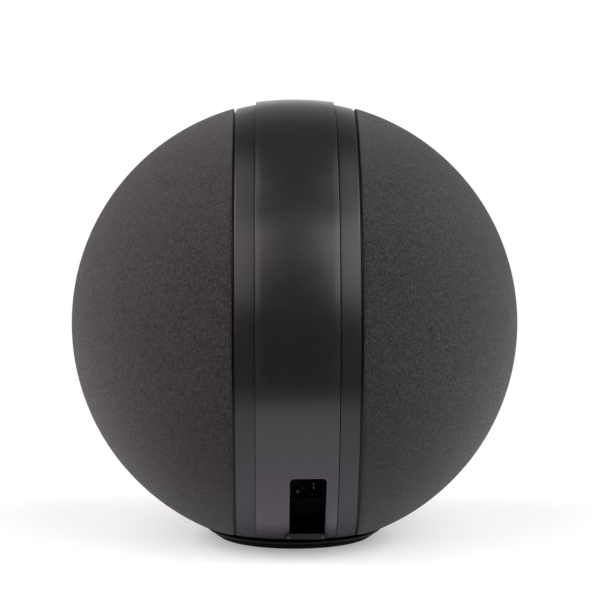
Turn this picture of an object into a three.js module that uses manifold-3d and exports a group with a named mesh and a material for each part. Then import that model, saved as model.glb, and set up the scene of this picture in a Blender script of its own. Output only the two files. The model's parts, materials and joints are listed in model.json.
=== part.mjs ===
// Ball-shaped smart speaker with two knit-covered domes and a satin centre band.
// Millimetres, +Z up, front towards -Y, rear recess towards +Y.
// Heights and depths below are measured from the centre of the ball unless a name says otherwise.
import * as THREE from "three";
import { mergeVertices } from "three/addons/utils/BufferGeometryUtils.js";
import Module from "manifold-3d";

const wasm = await Module();
wasm.setup();

// Ball
const CENTRE_ABOVE_FLOOR = 96.2;
const BODY_BOTTOM = -91;
const FIT_GAP = 0.3;
const FAR = 150;
const WELD_DISTANCE = 1e-4;
const MOUTH_CURVE_SEGMENTS = 4;

// Segments around each round piece
const HOOP_SEGMENTS = 48;
const DOME_SEGMENTS = 32;
const BASE_SEGMENTS = 32;
const DRIVER_SEGMENTS = 16;
const SMALL_SEGMENTS = 10;

// Knit covers and the grille domes under them
const COVER_EDGE_X = 26.6;
const COVER_OUTER_RADIUS = 99.8;
const COVER_THICKNESS = 0.8;
const DOME_ARC_STEPS = 7;
const DOME_EDGE_ANGLE = Math.acos(COVER_EDGE_X / COVER_OUTER_RADIUS);
const GRILLE_OUTER_RADIUS = COVER_OUTER_RADIUS - COVER_THICKNESS - FIT_GAP;
const GRILLE_THICKNESS = 3;
const GRILLE_EDGE_X = 28.4;
const GRILLE_WINDOW_ANGLES = [0.38, 0.76];
const GRILLE_WINDOW_COUNTS = [5, 9];
const GRILLE_WINDOW_SIZE = 11;
const GRILLE_WINDOW_DEPTH = 16;

// Centre band: a raised strap between two lower rails, on a hoop-shaped frame
const STRAP_HALF_WIDTH = 17.2;
const STRAP_FLAT_HALF_WIDTH = 16.1;
const STRAP_CROWN_RADIUS = 100.1;
const STRAP_EDGE_RADIUS = 98.95;
const STRAP_SIDE_RADIUS = 98;
const STRAP_INNER_RADIUS = 96.2;
const RAIL_INNER_X = STRAP_HALF_WIDTH + FIT_GAP;
const RAIL_OUTER_X = 25.5;
const RAIL_CHAMFER = 0.8;
const RAIL_SURFACE_RADIUS = 99.27;
const RAIL_INNER_RADIUS = 93.3;
const FRAME_HALF_WIDTH = 24;
const FRAME_LAND_HALF_WIDTH = 16.9;
const FRAME_INNER_RADIUS = 89.5;
const FRAME_OUTER_RADIUS = RAIL_INNER_RADIUS - FIT_GAP;
const FRAME_LAND_RADIUS = STRAP_INNER_RADIUS - FIT_GAP;

// Rear recess for the power plug
const RECESS_CENTRE_X = -4.6;
const RECESS_WIDTH = 15.3;
const RECESS_TOP = -58;
const RECESS_CORNER = 1.9;
const RECESS_BACK_Y = 37.5;
const POCKET_WALL = 1.5;
const POCKET_CEILING = -57.7;
const POCKET_FLOOR = -85.3;
const SHELF_TOP = -82.8;
const SHELF_FRONT_Y = 50;
const PANEL_FRONT_Y = 58;
const PANEL_THICKNESS = 1.5;
const PANEL_BOTTOM = -70.5;
const SOCKET_X = -7.3;
const SOCKET_Z = -64.9;
const SOCKET_OUTER_RADIUS = 3.1;
const SOCKET_BORE_RADIUS = 2.3;
const SOCKET_LENGTH = 13.8;
const SOCKET_FLOOR = 1.5;
const SOCKET_PROUD = 0.8;
const SOCKET_PIN_RADIUS = 0.6;
const SOCKET_PIN_LENGTH = 11;
const BUTTON_X = -0.5;
const BUTTON_Z = -66.5;
const BUTTON_RADIUS = 1.25;
const BUTTON_FLANGE_RADIUS = 2;
const BUTTON_PROUD = 0.6;
const BUTTON_CAP_LENGTH = 2.4;
const BUTTON_LENGTH = 6;

// Lip below the recess, held by a pin at each end
const SILL_CENTRE_X = -4.25;
const SILL_WIDTH = 16.1;
const SILL_TOP = -85.3;
const SILL_OUTER_RADIUS = 100.25;
const SILL_PIN_RADIUS = 0.7;
const SILL_PIN_INSET = 0.9;
const SILL_PIN_HEIGHT = -88.3;
const SILL_PIN_LENGTH = 2.4;
const SILL_PIN_PROUD = 0.4;

// Foot and base
const BASE_RADIUS = 39.2;
const BASE_TOP = -87.5;
const BASE_NECK_RADIUS = 35.3;
const BASE_NECK_BOTTOM = -94.6;
const COLLAR_OUTER_RADIUS = 38.6;
const COLLAR_TOP_RADIUS = 37.2;
const COLLAR_INNER_RADIUS = BASE_NECK_RADIUS + FIT_GAP;
const COLLAR_TOP = -92.6;
const COLLAR_CHAMFER_BOTTOM = -94.2;
const PAD_OUTER_RADIUS = 36.6;
const PAD_BOTTOM_RADIUS = 35.6;
const PAD_INNER_RADIUS = 22;
const PAD_TOP = BASE_NECK_BOTTOM - FIT_GAP;
const BASE_SCREWS = 4;
const BASE_SCREW_CIRCLE = 14;
const BASE_SCREW_HEAD_RADIUS = 2.9;
const BASE_SCREW_HEAD_HEIGHT = 2;
const BASE_SCREW_SHANK_RADIUS = 1.4;
const BASE_SCREW_LENGTH = 9;
const BALLAST_RADIUS = 33;
const BALLAST_INNER_RADIUS = 9;
const BALLAST_HEIGHT = 6.5;
const BASE_WELL_RADIUS = 39.6;
const BASE_WELL_TOP = -79.7;

// Baffles and drivers, on an axis u that points outwards from the centre plane
const BAFFLE_INNER_U = 24.3;
const BAFFLE_OUTER_U = 28;
const BAFFLE_RADIUS = 91.5;
const BAFFLE_HOLE_RADIUS = 35.6;
const BASKET_FLANGE_RADIUS = 40.5;
const BASKET_FLANGE_U = 30.3;
const BASKET_MOUTH_RADIUS = 33;
const BASKET_FLOOR_U = 13;
const BASKET_FLOOR_RADIUS = 17.5;
const BASKET_BORE_RADIUS = 11.5;
const BASKET_WALL_RADIUS = 34.6;
const BASKET_WALL_THICKNESS = 1.1;
const BASKET_FLOOR_THICKNESS = 1.8;
const BASKET_WINDOWS = 6;
const BASKET_WINDOW_SIZE = [7, 20, 11];
const BASKET_WINDOW_U = 21;
const BASKET_WINDOW_RADIUS = 28;
const DRIVER_SCREWS = 4;
const DRIVER_SCREW_CIRCLE = 37.8;
const DRIVER_SCREW_RADIUS = 1.1;
const DRIVER_SCREW_HOLE_RADIUS = 1.4;
const DRIVER_SCREW_HEAD_RADIUS = 2.2;
const DRIVER_SCREW_HEAD_TOP_RADIUS = 1.2;
const DRIVER_SCREW_HEAD_RIM = 0.8;
const DRIVER_SCREW_HEAD_HEIGHT = 1.5;
const MAGNET_RADIUS = 20;
const MAGNET_BORE_RADIUS = 10.8;
const MAGNET_BACK_U = 5.6;
const MAGNET_FRONT_U = 12.7;
const YOKE_RADIUS = 18.5;
const YOKE_BACK_U = 2.6;
const POLE_RADIUS = 8.7;
const POLE_FRONT_U = 12.4;
const COIL_INNER_RADIUS = 9.3;
const COIL_OUTER_RADIUS = 9.9;
const COIL_BACK_U = 8.6;
const CONE_NECK_U = 17.2;
const CONE_RIM_RADIUS = 28.6;
const CONE_RIM_U = 30.2;
const CONE_THICKNESS = 0.8;
const DUST_CAP_RADIUS = 10.6;
const DUST_CAP_U = 18.9;
const DUST_CAP_HEIGHT = 2.9;
const DUST_CAP_THICKNESS = 0.9;
const SURROUND_THICKNESS = 0.8;
const SURROUND_INNER_RADIUS = 27.2;
const SURROUND_OUTER_RADIUS = 35.2;
const SURROUND_LAND_WIDTH = 2.1;
const SURROUND_ROLL_HEIGHT = 2;
const SPIDER_THICKNESS = 0.5;
const SPIDER_INNER_RADIUS = 10.2;
const SPIDER_OUTER_RADIUS = 17.8;
const SPIDER_U = 15.3;
const SPIDER_WAVE_HEIGHT = 0.7;
const SPIDER_WAVE_STEPS = 4;

// Boards
const BOARD_THICKNESS = 1.6;
const BOARD_HALF_WIDTH = 24;
const MAIN_BOARD_DEPTH = 64;
const MAIN_BOARD_Z = 42;
const POWER_BOARD_DEPTH = 56;
const POWER_BOARD_Z = -46;
const MICROPHONE_BOARD_DEPTH = 22;
const MICROPHONE_BOARD_Z = 84;
const HEAT_SINK_SIZE = 32;
const HEAT_SINK_BASE = 2.5;
const HEAT_SINK_HEIGHT = 14;
const HEAT_SINK_FINS = 6;
const HEAT_SINK_FIN_THICKNESS = 1.6;

// Materials

function material(colour, roughness, metalness) {
  return new THREE.MeshStandardMaterial({ color: colour, roughness, metalness });
}

const knit = () => material(0x353434, 0.95, 0);
const bandPlastic = () => material(0x2b2a2b, 0.38, 0);
const railPlastic = () => material(0x343335, 0.42, 0);
const structuralPlastic = () => material(0x1d1d1e, 0.6, 0);
const recessPlastic = () => material(0x0b0b0d, 0.5, 0);
const collarPlastic = () => material(0x4b4a4c, 0.45, 0);
const rubber = () => material(0x161616, 0.85, 0);
const steel = () => material(0x9a9a9c, 0.35, 1);
const ferrite = () => material(0x2a2a2c, 0.55, 0.4);
const aluminium = () => material(0xb4b5b8, 0.4, 1);
const copper = () => material(0xa86a3c, 0.4, 1);
const conePaper = () => material(0x1c1c1d, 0.8, 0);
const spiderCloth = () => material(0xb58a3f, 0.9, 0);
const circuitBoard = () => material(0x1f4a30, 0.5, 0);

// Solids

function solidOf(geometry) {
  const bare = geometry.index ? geometry.toNonIndexed() : geometry.clone();
  bare.deleteAttribute("normal");
  bare.deleteAttribute("uv");
  const welded = mergeVertices(bare, WELD_DISTANCE);
  const mesh = new wasm.Mesh({
    numProp: 3,
    vertProperties: welded.attributes.position.array,
    triVerts: new Uint32Array(welded.index.array),
  });
  return new wasm.Manifold(mesh);
}

function geometryOf(solid) {
  const mesh = solid.getMesh();
  const geometry = new THREE.BufferGeometry();
  geometry.setAttribute("position", new THREE.BufferAttribute(mesh.vertProperties, 3));
  geometry.setIndex(new THREE.BufferAttribute(mesh.triVerts, 1));
  const faceted = geometry.toNonIndexed();
  faceted.computeVertexNormals();
  return faceted;
}

function addMesh(parent, name, geometry, meshMaterial) {
  const mesh = new THREE.Mesh(geometry, meshMaterial);
  mesh.name = name;
  parent.add(mesh);
  return mesh;
}

function closedLathe(points, segments) {
  const profile = points.map(([radius, height]) => new THREE.Vector2(radius, height));
  const touchesAxis = points[0][0] === 0;
  if (!touchesAxis) profile.push(profile[0].clone());
  return new THREE.LatheGeometry(profile, segments);
}

// A profile of [radius, distance along the axis] turned about X, about Y or about Z.
function latheAboutX(points, segments) {
  return closedLathe(points, segments).rotateZ(-Math.PI / 2);
}

function latheAboutY(points, segments) {
  return closedLathe(points, segments);
}

function latheAboutZ(points, segments) {
  return closedLathe(points, segments).rotateX(Math.PI / 2);
}

function boxSolid(low, high) {
  const size = high.map((value, axis) => value - low[axis]);
  const box = new THREE.BoxGeometry(...size);
  box.translate(...low.map((value, axis) => value + size[axis] / 2));
  return solidOf(box);
}

function baseWell() {
  const well = new THREE.CylinderGeometry(BASE_WELL_RADIUS, BASE_WELL_RADIUS, FAR, BASE_SEGMENTS);
  well.rotateX(Math.PI / 2).translate(0, 0, BASE_WELL_TOP - FAR / 2);
  return solidOf(well);
}

function belowBody() {
  return boxSolid([-FAR, -FAR, -FAR], [FAR, FAR, BODY_BOTTOM]);
}

// The flat underside and the round well that the base plate sits in.
function trimmedForBase(solid) {
  return solid.subtract(belowBody()).subtract(baseWell());
}

// Points on a circle from the pole out to an edge at a given distance from the centre plane.
// Every dome turns through the same angles, so the faces of nested domes stay parallel.
function domeArc(radius, edgeX) {
  const points = [[0, radius]];
  for (let step = 1; step < DOME_ARC_STEPS; step += 1) {
    const angle = (DOME_EDGE_ANGLE * step) / DOME_ARC_STEPS;
    points.push([radius * Math.sin(angle), radius * Math.cos(angle)]);
  }
  points.push([Math.sqrt(radius * radius - edgeX * edgeX), edgeX]);
  return points;
}

function domeProfile(outerRadius, thickness, edgeX) {
  return [...domeArc(outerRadius - thickness, edgeX), ...domeArc(outerRadius, edgeX).reverse()];
}

// Domes

function coverSolid() {
  const profile = domeProfile(COVER_OUTER_RADIUS, COVER_THICKNESS, COVER_EDGE_X);
  return trimmedForBase(solidOf(latheAboutX(profile, DOME_SEGMENTS)));
}

function grilleWindow(polar, turn) {
  const window = new THREE.BoxGeometry(GRILLE_WINDOW_DEPTH, GRILLE_WINDOW_SIZE, GRILLE_WINDOW_SIZE);
  window.translate(GRILLE_OUTER_RADIUS, 0, 0).rotateY(-polar).rotateX(turn);
  return solidOf(window);
}

function grilleSolid() {
  const profile = domeProfile(GRILLE_OUTER_RADIUS, GRILLE_THICKNESS, GRILLE_EDGE_X);
  let dome = solidOf(latheAboutX(profile, DOME_SEGMENTS));
  GRILLE_WINDOW_ANGLES.forEach((polar, row) => {
    const count = GRILLE_WINDOW_COUNTS[row];
    for (let index = 0; index < count; index += 1) {
      dome = dome.subtract(grilleWindow(polar, ((index + 0.5) * 2 * Math.PI) / count));
    }
  });
  return trimmedForBase(dome);
}

// Centre band

function strapProfile() {
  const crownDrop = STRAP_CROWN_RADIUS - STRAP_EDGE_RADIUS;
  const crown = [-1, -0.5, 0, 0.5, 1].map((share) => [
    STRAP_CROWN_RADIUS - crownDrop * share * share,
    STRAP_FLAT_HALF_WIDTH * share,
  ]);
  return [
    [STRAP_INNER_RADIUS, -STRAP_HALF_WIDTH],
    [STRAP_SIDE_RADIUS, -STRAP_HALF_WIDTH],
    ...crown,
    [STRAP_SIDE_RADIUS, STRAP_HALF_WIDTH],
    [STRAP_INNER_RADIUS, STRAP_HALF_WIDTH],
  ];
}

// The recess mouth: a rounded top and square lower corners, cut straight in along Y.
function recessMouth() {
  const half = RECESS_WIDTH / 2;
  const shape = new THREE.Shape();
  shape.moveTo(-half, -FAR);
  shape.lineTo(half, -FAR);
  shape.lineTo(half, RECESS_TOP - RECESS_CORNER);
  shape.quadraticCurveTo(half, RECESS_TOP, half - RECESS_CORNER, RECESS_TOP);
  shape.lineTo(-half + RECESS_CORNER, RECESS_TOP);
  shape.quadraticCurveTo(-half, RECESS_TOP, -half, RECESS_TOP - RECESS_CORNER);
  shape.closePath();
  const settings = { depth: FAR, bevelEnabled: false, curveSegments: MOUTH_CURVE_SEGMENTS };
  const mouth = new THREE.ExtrudeGeometry(shape, settings);
  mouth.rotateX(Math.PI / 2).translate(RECESS_CENTRE_X, FAR, 0);
  return solidOf(mouth);
}

function sillNotch() {
  const half = SILL_WIDTH / 2 + FIT_GAP;
  const low = [SILL_CENTRE_X - half, 0, -FAR];
  const high = [SILL_CENTRE_X + half, FAR, SILL_TOP + FIT_GAP];
  return boxSolid(low, high);
}

function strapSolid() {
  const hoop = solidOf(latheAboutX(strapProfile(), HOOP_SEGMENTS));
  return trimmedForBase(hoop.subtract(recessMouth()).subtract(sillNotch()));
}

// The surface radius about X of a sphere at a given distance from the centre plane.
function hoopRadius(sphereRadius, x) {
  return Math.sqrt(sphereRadius * sphereRadius - x * x);
}

function railSolid() {
  const chamferX = RAIL_OUTER_X - RAIL_CHAMFER;
  const middleX = (RAIL_INNER_X + chamferX) / 2;
  const profile = [
    [RAIL_INNER_RADIUS, RAIL_INNER_X],
    [hoopRadius(RAIL_SURFACE_RADIUS, RAIL_INNER_X), RAIL_INNER_X],
    [hoopRadius(RAIL_SURFACE_RADIUS, middleX), middleX],
    [hoopRadius(RAIL_SURFACE_RADIUS, chamferX), chamferX],
    [hoopRadius(RAIL_SURFACE_RADIUS, chamferX) - 2 * RAIL_CHAMFER, RAIL_OUTER_X],
    [RAIL_INNER_RADIUS, RAIL_OUTER_X],
  ];
  return trimmedForBase(solidOf(latheAboutX(profile, HOOP_SEGMENTS)));
}

function pocketOuter(gap) {
  const reach = RECESS_WIDTH / 2 + POCKET_WALL + gap;
  const low = [RECESS_CENTRE_X - reach, RECESS_BACK_Y - POCKET_WALL - gap, POCKET_FLOOR - POCKET_WALL - gap];
  const high = [RECESS_CENTRE_X + reach, FAR, POCKET_CEILING + POCKET_WALL + gap];
  return boxSolid(low, high);
}

function frameSolid() {
  const profile = [
    [FRAME_INNER_RADIUS, -FRAME_HALF_WIDTH],
    [FRAME_OUTER_RADIUS, -FRAME_HALF_WIDTH],
    [FRAME_OUTER_RADIUS, -FRAME_LAND_HALF_WIDTH],
    [FRAME_LAND_RADIUS, -FRAME_LAND_HALF_WIDTH],
    [FRAME_LAND_RADIUS, FRAME_LAND_HALF_WIDTH],
    [FRAME_OUTER_RADIUS, FRAME_LAND_HALF_WIDTH],
    [FRAME_OUTER_RADIUS, FRAME_HALF_WIDTH],
    [FRAME_INNER_RADIUS, FRAME_HALF_WIDTH],
  ];
  const hoop = solidOf(latheAboutX(profile, HOOP_SEGMENTS));
  return trimmedForBase(hoop.subtract(pocketOuter(FIT_GAP)));
}

function addBand(parent) {
  addMesh(parent, "centre_frame", geometryOf(frameSolid()), structuralPlastic());
  addMesh(parent, "strap", geometryOf(strapSolid()), bandPlastic());
  const rail = geometryOf(railSolid());
  addMesh(parent, "right_rail", rail, railPlastic());
  addMesh(parent, "left_rail", rail.clone(), railPlastic()).rotation.z = Math.PI;
}

// Rear recess

function pocketSolid() {
  const half = RECESS_WIDTH / 2;
  const left = RECESS_CENTRE_X - half;
  const right = RECESS_CENTRE_X + half;
  const hollow = boxSolid([left, RECESS_BACK_Y, POCKET_FLOOR], [right, 2 * FAR, POCKET_CEILING]);
  const shelf = boxSolid([left, RECESS_BACK_Y, POCKET_FLOOR], [right, SHELF_FRONT_Y, SHELF_TOP]);
  const underStrap = new THREE.CylinderGeometry(FRAME_LAND_RADIUS, FRAME_LAND_RADIUS, FAR, HOOP_SEGMENTS);
  underStrap.rotateZ(-Math.PI / 2);
  return pocketOuter(0).subtract(hollow).add(shelf).intersect(solidOf(underStrap));
}

function holeAlongY(radius, x, z) {
  const hole = new THREE.CylinderGeometry(radius, radius, FAR, DRIVER_SEGMENTS);
  hole.translate(x, PANEL_FRONT_Y, z);
  return solidOf(hole);
}

function panelSolid() {
  const half = RECESS_WIDTH / 2 - FIT_GAP;
  const low = [RECESS_CENTRE_X - half, PANEL_FRONT_Y - PANEL_THICKNESS, PANEL_BOTTOM];
  const high = [RECESS_CENTRE_X + half, PANEL_FRONT_Y, POCKET_CEILING - FIT_GAP];
  const socketHole = holeAlongY(SOCKET_OUTER_RADIUS + FIT_GAP, SOCKET_X, SOCKET_Z);
  const buttonHole = holeAlongY(BUTTON_RADIUS + FIT_GAP, BUTTON_X, BUTTON_Z);
  return boxSolid(low, high).subtract(socketHole).subtract(buttonHole);
}

function addPowerSocket(parent) {
  const front = PANEL_FRONT_Y + SOCKET_PROUD;
  const back = front - SOCKET_LENGTH;
  const barrel = latheAboutY(
    [
      [0, back],
      [SOCKET_OUTER_RADIUS, back],
      [SOCKET_OUTER_RADIUS, front],
      [SOCKET_BORE_RADIUS, front],
      [SOCKET_BORE_RADIUS, back + SOCKET_FLOOR],
      [0, back + SOCKET_FLOOR],
    ],
    DRIVER_SEGMENTS,
  );
  addMesh(parent, "power_socket", barrel, recessPlastic()).position.set(SOCKET_X, 0, SOCKET_Z);
  const pin = new THREE.CylinderGeometry(
    SOCKET_PIN_RADIUS,
    SOCKET_PIN_RADIUS,
    SOCKET_PIN_LENGTH,
    SMALL_SEGMENTS,
  );
  pin.translate(0, back + SOCKET_FLOOR + FIT_GAP + SOCKET_PIN_LENGTH / 2, 0);
  addMesh(parent, "socket_pin", pin, steel()).position.set(SOCKET_X, 0, SOCKET_Z);
}

function addResetButton(parent) {
  const front = PANEL_FRONT_Y + BUTTON_PROUD;
  const flangeBack = front - BUTTON_LENGTH;
  const flangeFront = front - BUTTON_CAP_LENGTH - FIT_GAP;
  const button = latheAboutY(
    [
      [0, flangeBack],
      [BUTTON_FLANGE_RADIUS, flangeBack],
      [BUTTON_FLANGE_RADIUS, flangeFront],
      [BUTTON_RADIUS, flangeFront],
      [BUTTON_RADIUS, front],
      [0, front],
    ],
    SMALL_SEGMENTS,
  );
  addMesh(parent, "reset_button", button, collarPlastic()).position.set(BUTTON_X, 0, BUTTON_Z);
}

// A straight pin that points out of the band at the height of the lip.
function sillPin(radius, x) {
  const depth = Math.sqrt(SILL_OUTER_RADIUS ** 2 - SILL_PIN_HEIGHT ** 2);
  const slope = Math.atan2(SILL_PIN_HEIGHT, depth);
  const pin = new THREE.CylinderGeometry(radius, radius, SILL_PIN_LENGTH, SMALL_SEGMENTS);
  pin.translate(0, SILL_OUTER_RADIUS + SILL_PIN_PROUD - SILL_PIN_LENGTH / 2, 0);
  pin.rotateX(slope).translate(x, 0, 0);
  return pin;
}

function addSill(parent) {
  const half = SILL_WIDTH / 2;
  const pinReach = half - SILL_PIN_INSET;
  const hoop = latheAboutX(
    [
      [STRAP_INNER_RADIUS, -STRAP_HALF_WIDTH],
      [SILL_OUTER_RADIUS, -STRAP_HALF_WIDTH],
      [SILL_OUTER_RADIUS, STRAP_HALF_WIDTH],
      [STRAP_INNER_RADIUS, STRAP_HALF_WIDTH],
    ],
    HOOP_SEGMENTS,
  );
  const block = boxSolid([SILL_CENTRE_X - half, 0, -FAR], [SILL_CENTRE_X + half, FAR, SILL_TOP]);
  let lip = trimmedForBase(solidOf(hoop).intersect(block));
  const pins = { left: SILL_CENTRE_X - pinReach, right: SILL_CENTRE_X + pinReach };
  for (const [side, x] of Object.entries(pins)) {
    lip = lip.subtract(solidOf(sillPin(SILL_PIN_RADIUS + FIT_GAP, x)));
    addMesh(parent, `${side}_sill_pin`, sillPin(SILL_PIN_RADIUS, x), steel());
  }
  addMesh(parent, "recess_sill", geometryOf(lip), collarPlastic());
}

function addRecess(parent) {
  addMesh(parent, "recess_pocket", geometryOf(pocketSolid()), recessPlastic());
  addMesh(parent, "socket_panel", geometryOf(panelSolid()), recessPlastic());
  addPowerSocket(parent);
  addResetButton(parent);
  addSill(parent);
}

// Base

function baseScrewPlaces() {
  const places = [];
  for (let index = 0; index < BASE_SCREWS; index += 1) {
    const angle = ((index + 0.5) * 2 * Math.PI) / BASE_SCREWS;
    places.push([BASE_SCREW_CIRCLE * Math.cos(angle), BASE_SCREW_CIRCLE * Math.sin(angle)]);
  }
  return places;
}

function baseScrewProfile(gap) {
  const headTop = BASE_NECK_BOTTOM + BASE_SCREW_HEAD_HEIGHT + FIT_GAP + gap;
  const tip = BASE_NECK_BOTTOM + BASE_SCREW_LENGTH;
  const headBottom = BASE_NECK_BOTTOM + FIT_GAP - gap;
  return [
    [0, headBottom],
    [BASE_SCREW_HEAD_RADIUS + gap, headBottom],
    [BASE_SCREW_HEAD_RADIUS + gap, headTop],
    [BASE_SCREW_SHANK_RADIUS + gap, headTop],
    [BASE_SCREW_SHANK_RADIUS + gap, tip + gap],
    [0, tip + gap],
  ];
}

function addBasePlate(parent) {
  const disc = latheAboutZ(
    [
      [0, BASE_NECK_BOTTOM],
      [BASE_NECK_RADIUS, BASE_NECK_BOTTOM],
      [BASE_NECK_RADIUS, BODY_BOTTOM],
      [BASE_RADIUS, BODY_BOTTOM],
      [BASE_RADIUS, BASE_TOP],
      [0, BASE_TOP],
    ],
    BASE_SEGMENTS,
  );
  let plate = solidOf(disc);
  for (const [x, y] of baseScrewPlaces()) {
    const hole = latheAboutZ(baseScrewProfile(FIT_GAP), SMALL_SEGMENTS).translate(x, y, 0);
    plate = plate.subtract(solidOf(hole));
  }
  addMesh(parent, "base_plate", geometryOf(plate), structuralPlastic());
}

function addFoot(parent) {
  const collar = latheAboutZ(
    [
      [COLLAR_INNER_RADIUS, BASE_NECK_BOTTOM],
      [COLLAR_TOP_RADIUS, BASE_NECK_BOTTOM],
      [COLLAR_OUTER_RADIUS, COLLAR_CHAMFER_BOTTOM],
      [COLLAR_TOP_RADIUS, COLLAR_TOP],
      [COLLAR_INNER_RADIUS, COLLAR_TOP],
    ],
    BASE_SEGMENTS,
  );
  addMesh(parent, "foot_collar", collar, collarPlastic());
  const floor = -CENTRE_ABOVE_FLOOR;
  const pad = latheAboutZ(
    [
      [PAD_INNER_RADIUS, floor],
      [PAD_BOTTOM_RADIUS, floor],
      [PAD_OUTER_RADIUS, PAD_TOP],
      [PAD_INNER_RADIUS, PAD_TOP],
    ],
    BASE_SEGMENTS,
  );
  addMesh(parent, "foot_pad", pad, rubber());
}

function addBallast(parent) {
  const bottom = BASE_TOP + FIT_GAP;
  const top = bottom + BALLAST_HEIGHT;
  const weight = latheAboutZ(
    [
      [BALLAST_INNER_RADIUS, bottom],
      [BALLAST_RADIUS, bottom],
      [BALLAST_RADIUS, top],
      [BALLAST_INNER_RADIUS, top],
    ],
    BASE_SEGMENTS,
  );
  let disc = solidOf(weight);
  for (const [x, y] of baseScrewPlaces()) {
    const hole = latheAboutZ(baseScrewProfile(FIT_GAP), SMALL_SEGMENTS).translate(x, y, 0);
    disc = disc.subtract(solidOf(hole));
  }
  addMesh(parent, "ballast", geometryOf(disc), steel());
}

function addBase(parent) {
  addBasePlate(parent);
  addFoot(parent);
  addBallast(parent);
  baseScrewPlaces().forEach(([x, y], index) => {
    const screw = latheAboutZ(baseScrewProfile(0), SMALL_SEGMENTS);
    addMesh(parent, `base_screw_${index + 1}`, screw, steel()).position.set(x, y, 0);
  });
}

// Drivers and their baffles, each built facing +X

function driverScrewPlaces() {
  const places = [];
  for (let index = 0; index < DRIVER_SCREWS; index += 1) {
    const angle = ((index + 0.5) * 2 * Math.PI) / DRIVER_SCREWS;
    places.push([DRIVER_SCREW_CIRCLE * Math.cos(angle), DRIVER_SCREW_CIRCLE * Math.sin(angle)]);
  }
  return places;
}

function withScrewHoles(solid) {
  let drilled = solid;
  for (const [y, z] of driverScrewPlaces()) {
    const hole = new THREE.CylinderGeometry(
      DRIVER_SCREW_HOLE_RADIUS,
      DRIVER_SCREW_HOLE_RADIUS,
      FAR,
      SMALL_SEGMENTS,
    );
    hole.rotateZ(-Math.PI / 2).translate(0, y, z);
    drilled = drilled.subtract(solidOf(hole));
  }
  return drilled;
}

function baffleSolid() {
  const ring = latheAboutX(
    [
      [BAFFLE_HOLE_RADIUS, BAFFLE_INNER_U],
      [BAFFLE_RADIUS, BAFFLE_INNER_U],
      [BAFFLE_RADIUS, BAFFLE_OUTER_U],
      [BAFFLE_HOLE_RADIUS, BAFFLE_OUTER_U],
    ],
    DOME_SEGMENTS,
  );
  const underCut = boxSolid([-FAR, -FAR, -FAR], [FAR, FAR, BASE_WELL_TOP]);
  return withScrewHoles(solidOf(ring).subtract(underCut));
}

function basketSolid() {
  const flangeBack = BAFFLE_OUTER_U + FIT_GAP;
  const floorFront = BASKET_FLOOR_U + BASKET_FLOOR_THICKNESS;
  const basket = latheAboutX(
    [
      [BASKET_BORE_RADIUS, BASKET_FLOOR_U],
      [BASKET_FLOOR_RADIUS + BASKET_WALL_THICKNESS, BASKET_FLOOR_U],
      [BASKET_WALL_RADIUS, flangeBack - BASKET_WALL_THICKNESS],
      [BASKET_WALL_RADIUS, flangeBack],
      [BASKET_FLANGE_RADIUS, flangeBack],
      [BASKET_FLANGE_RADIUS, BASKET_FLANGE_U],
      [BASKET_MOUTH_RADIUS, BASKET_FLANGE_U],
      [BASKET_MOUTH_RADIUS, flangeBack],
      [BASKET_FLOOR_RADIUS, floorFront],
      [BASKET_BORE_RADIUS, floorFront],
    ],
    DRIVER_SEGMENTS,
  );
  let solid = withScrewHoles(solidOf(basket));
  for (let index = 0; index < BASKET_WINDOWS; index += 1) {
    const window = new THREE.BoxGeometry(...BASKET_WINDOW_SIZE);
    window.translate(BASKET_WINDOW_U, BASKET_WINDOW_RADIUS, 0);
    window.rotateX((index * 2 * Math.PI) / BASKET_WINDOWS);
    solid = solid.subtract(solidOf(window));
  }
  return solid;
}

function addMotor(parent, side) {
  const magnet = latheAboutX(
    [
      [MAGNET_BORE_RADIUS, MAGNET_BACK_U],
      [MAGNET_RADIUS, MAGNET_BACK_U],
      [MAGNET_RADIUS, MAGNET_FRONT_U],
      [MAGNET_BORE_RADIUS, MAGNET_FRONT_U],
    ],
    DRIVER_SEGMENTS,
  );
  addMesh(parent, `${side}_magnet`, magnet, ferrite());
  const plateFront = MAGNET_BACK_U - FIT_GAP;
  const yoke = latheAboutX(
    [
      [0, YOKE_BACK_U],
      [YOKE_RADIUS, YOKE_BACK_U],
      [YOKE_RADIUS, plateFront],
      [POLE_RADIUS, plateFront],
      [POLE_RADIUS, POLE_FRONT_U],
      [0, POLE_FRONT_U],
    ],
    DRIVER_SEGMENTS,
  );
  addMesh(parent, `${side}_pole_yoke`, yoke, steel());
}

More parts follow.
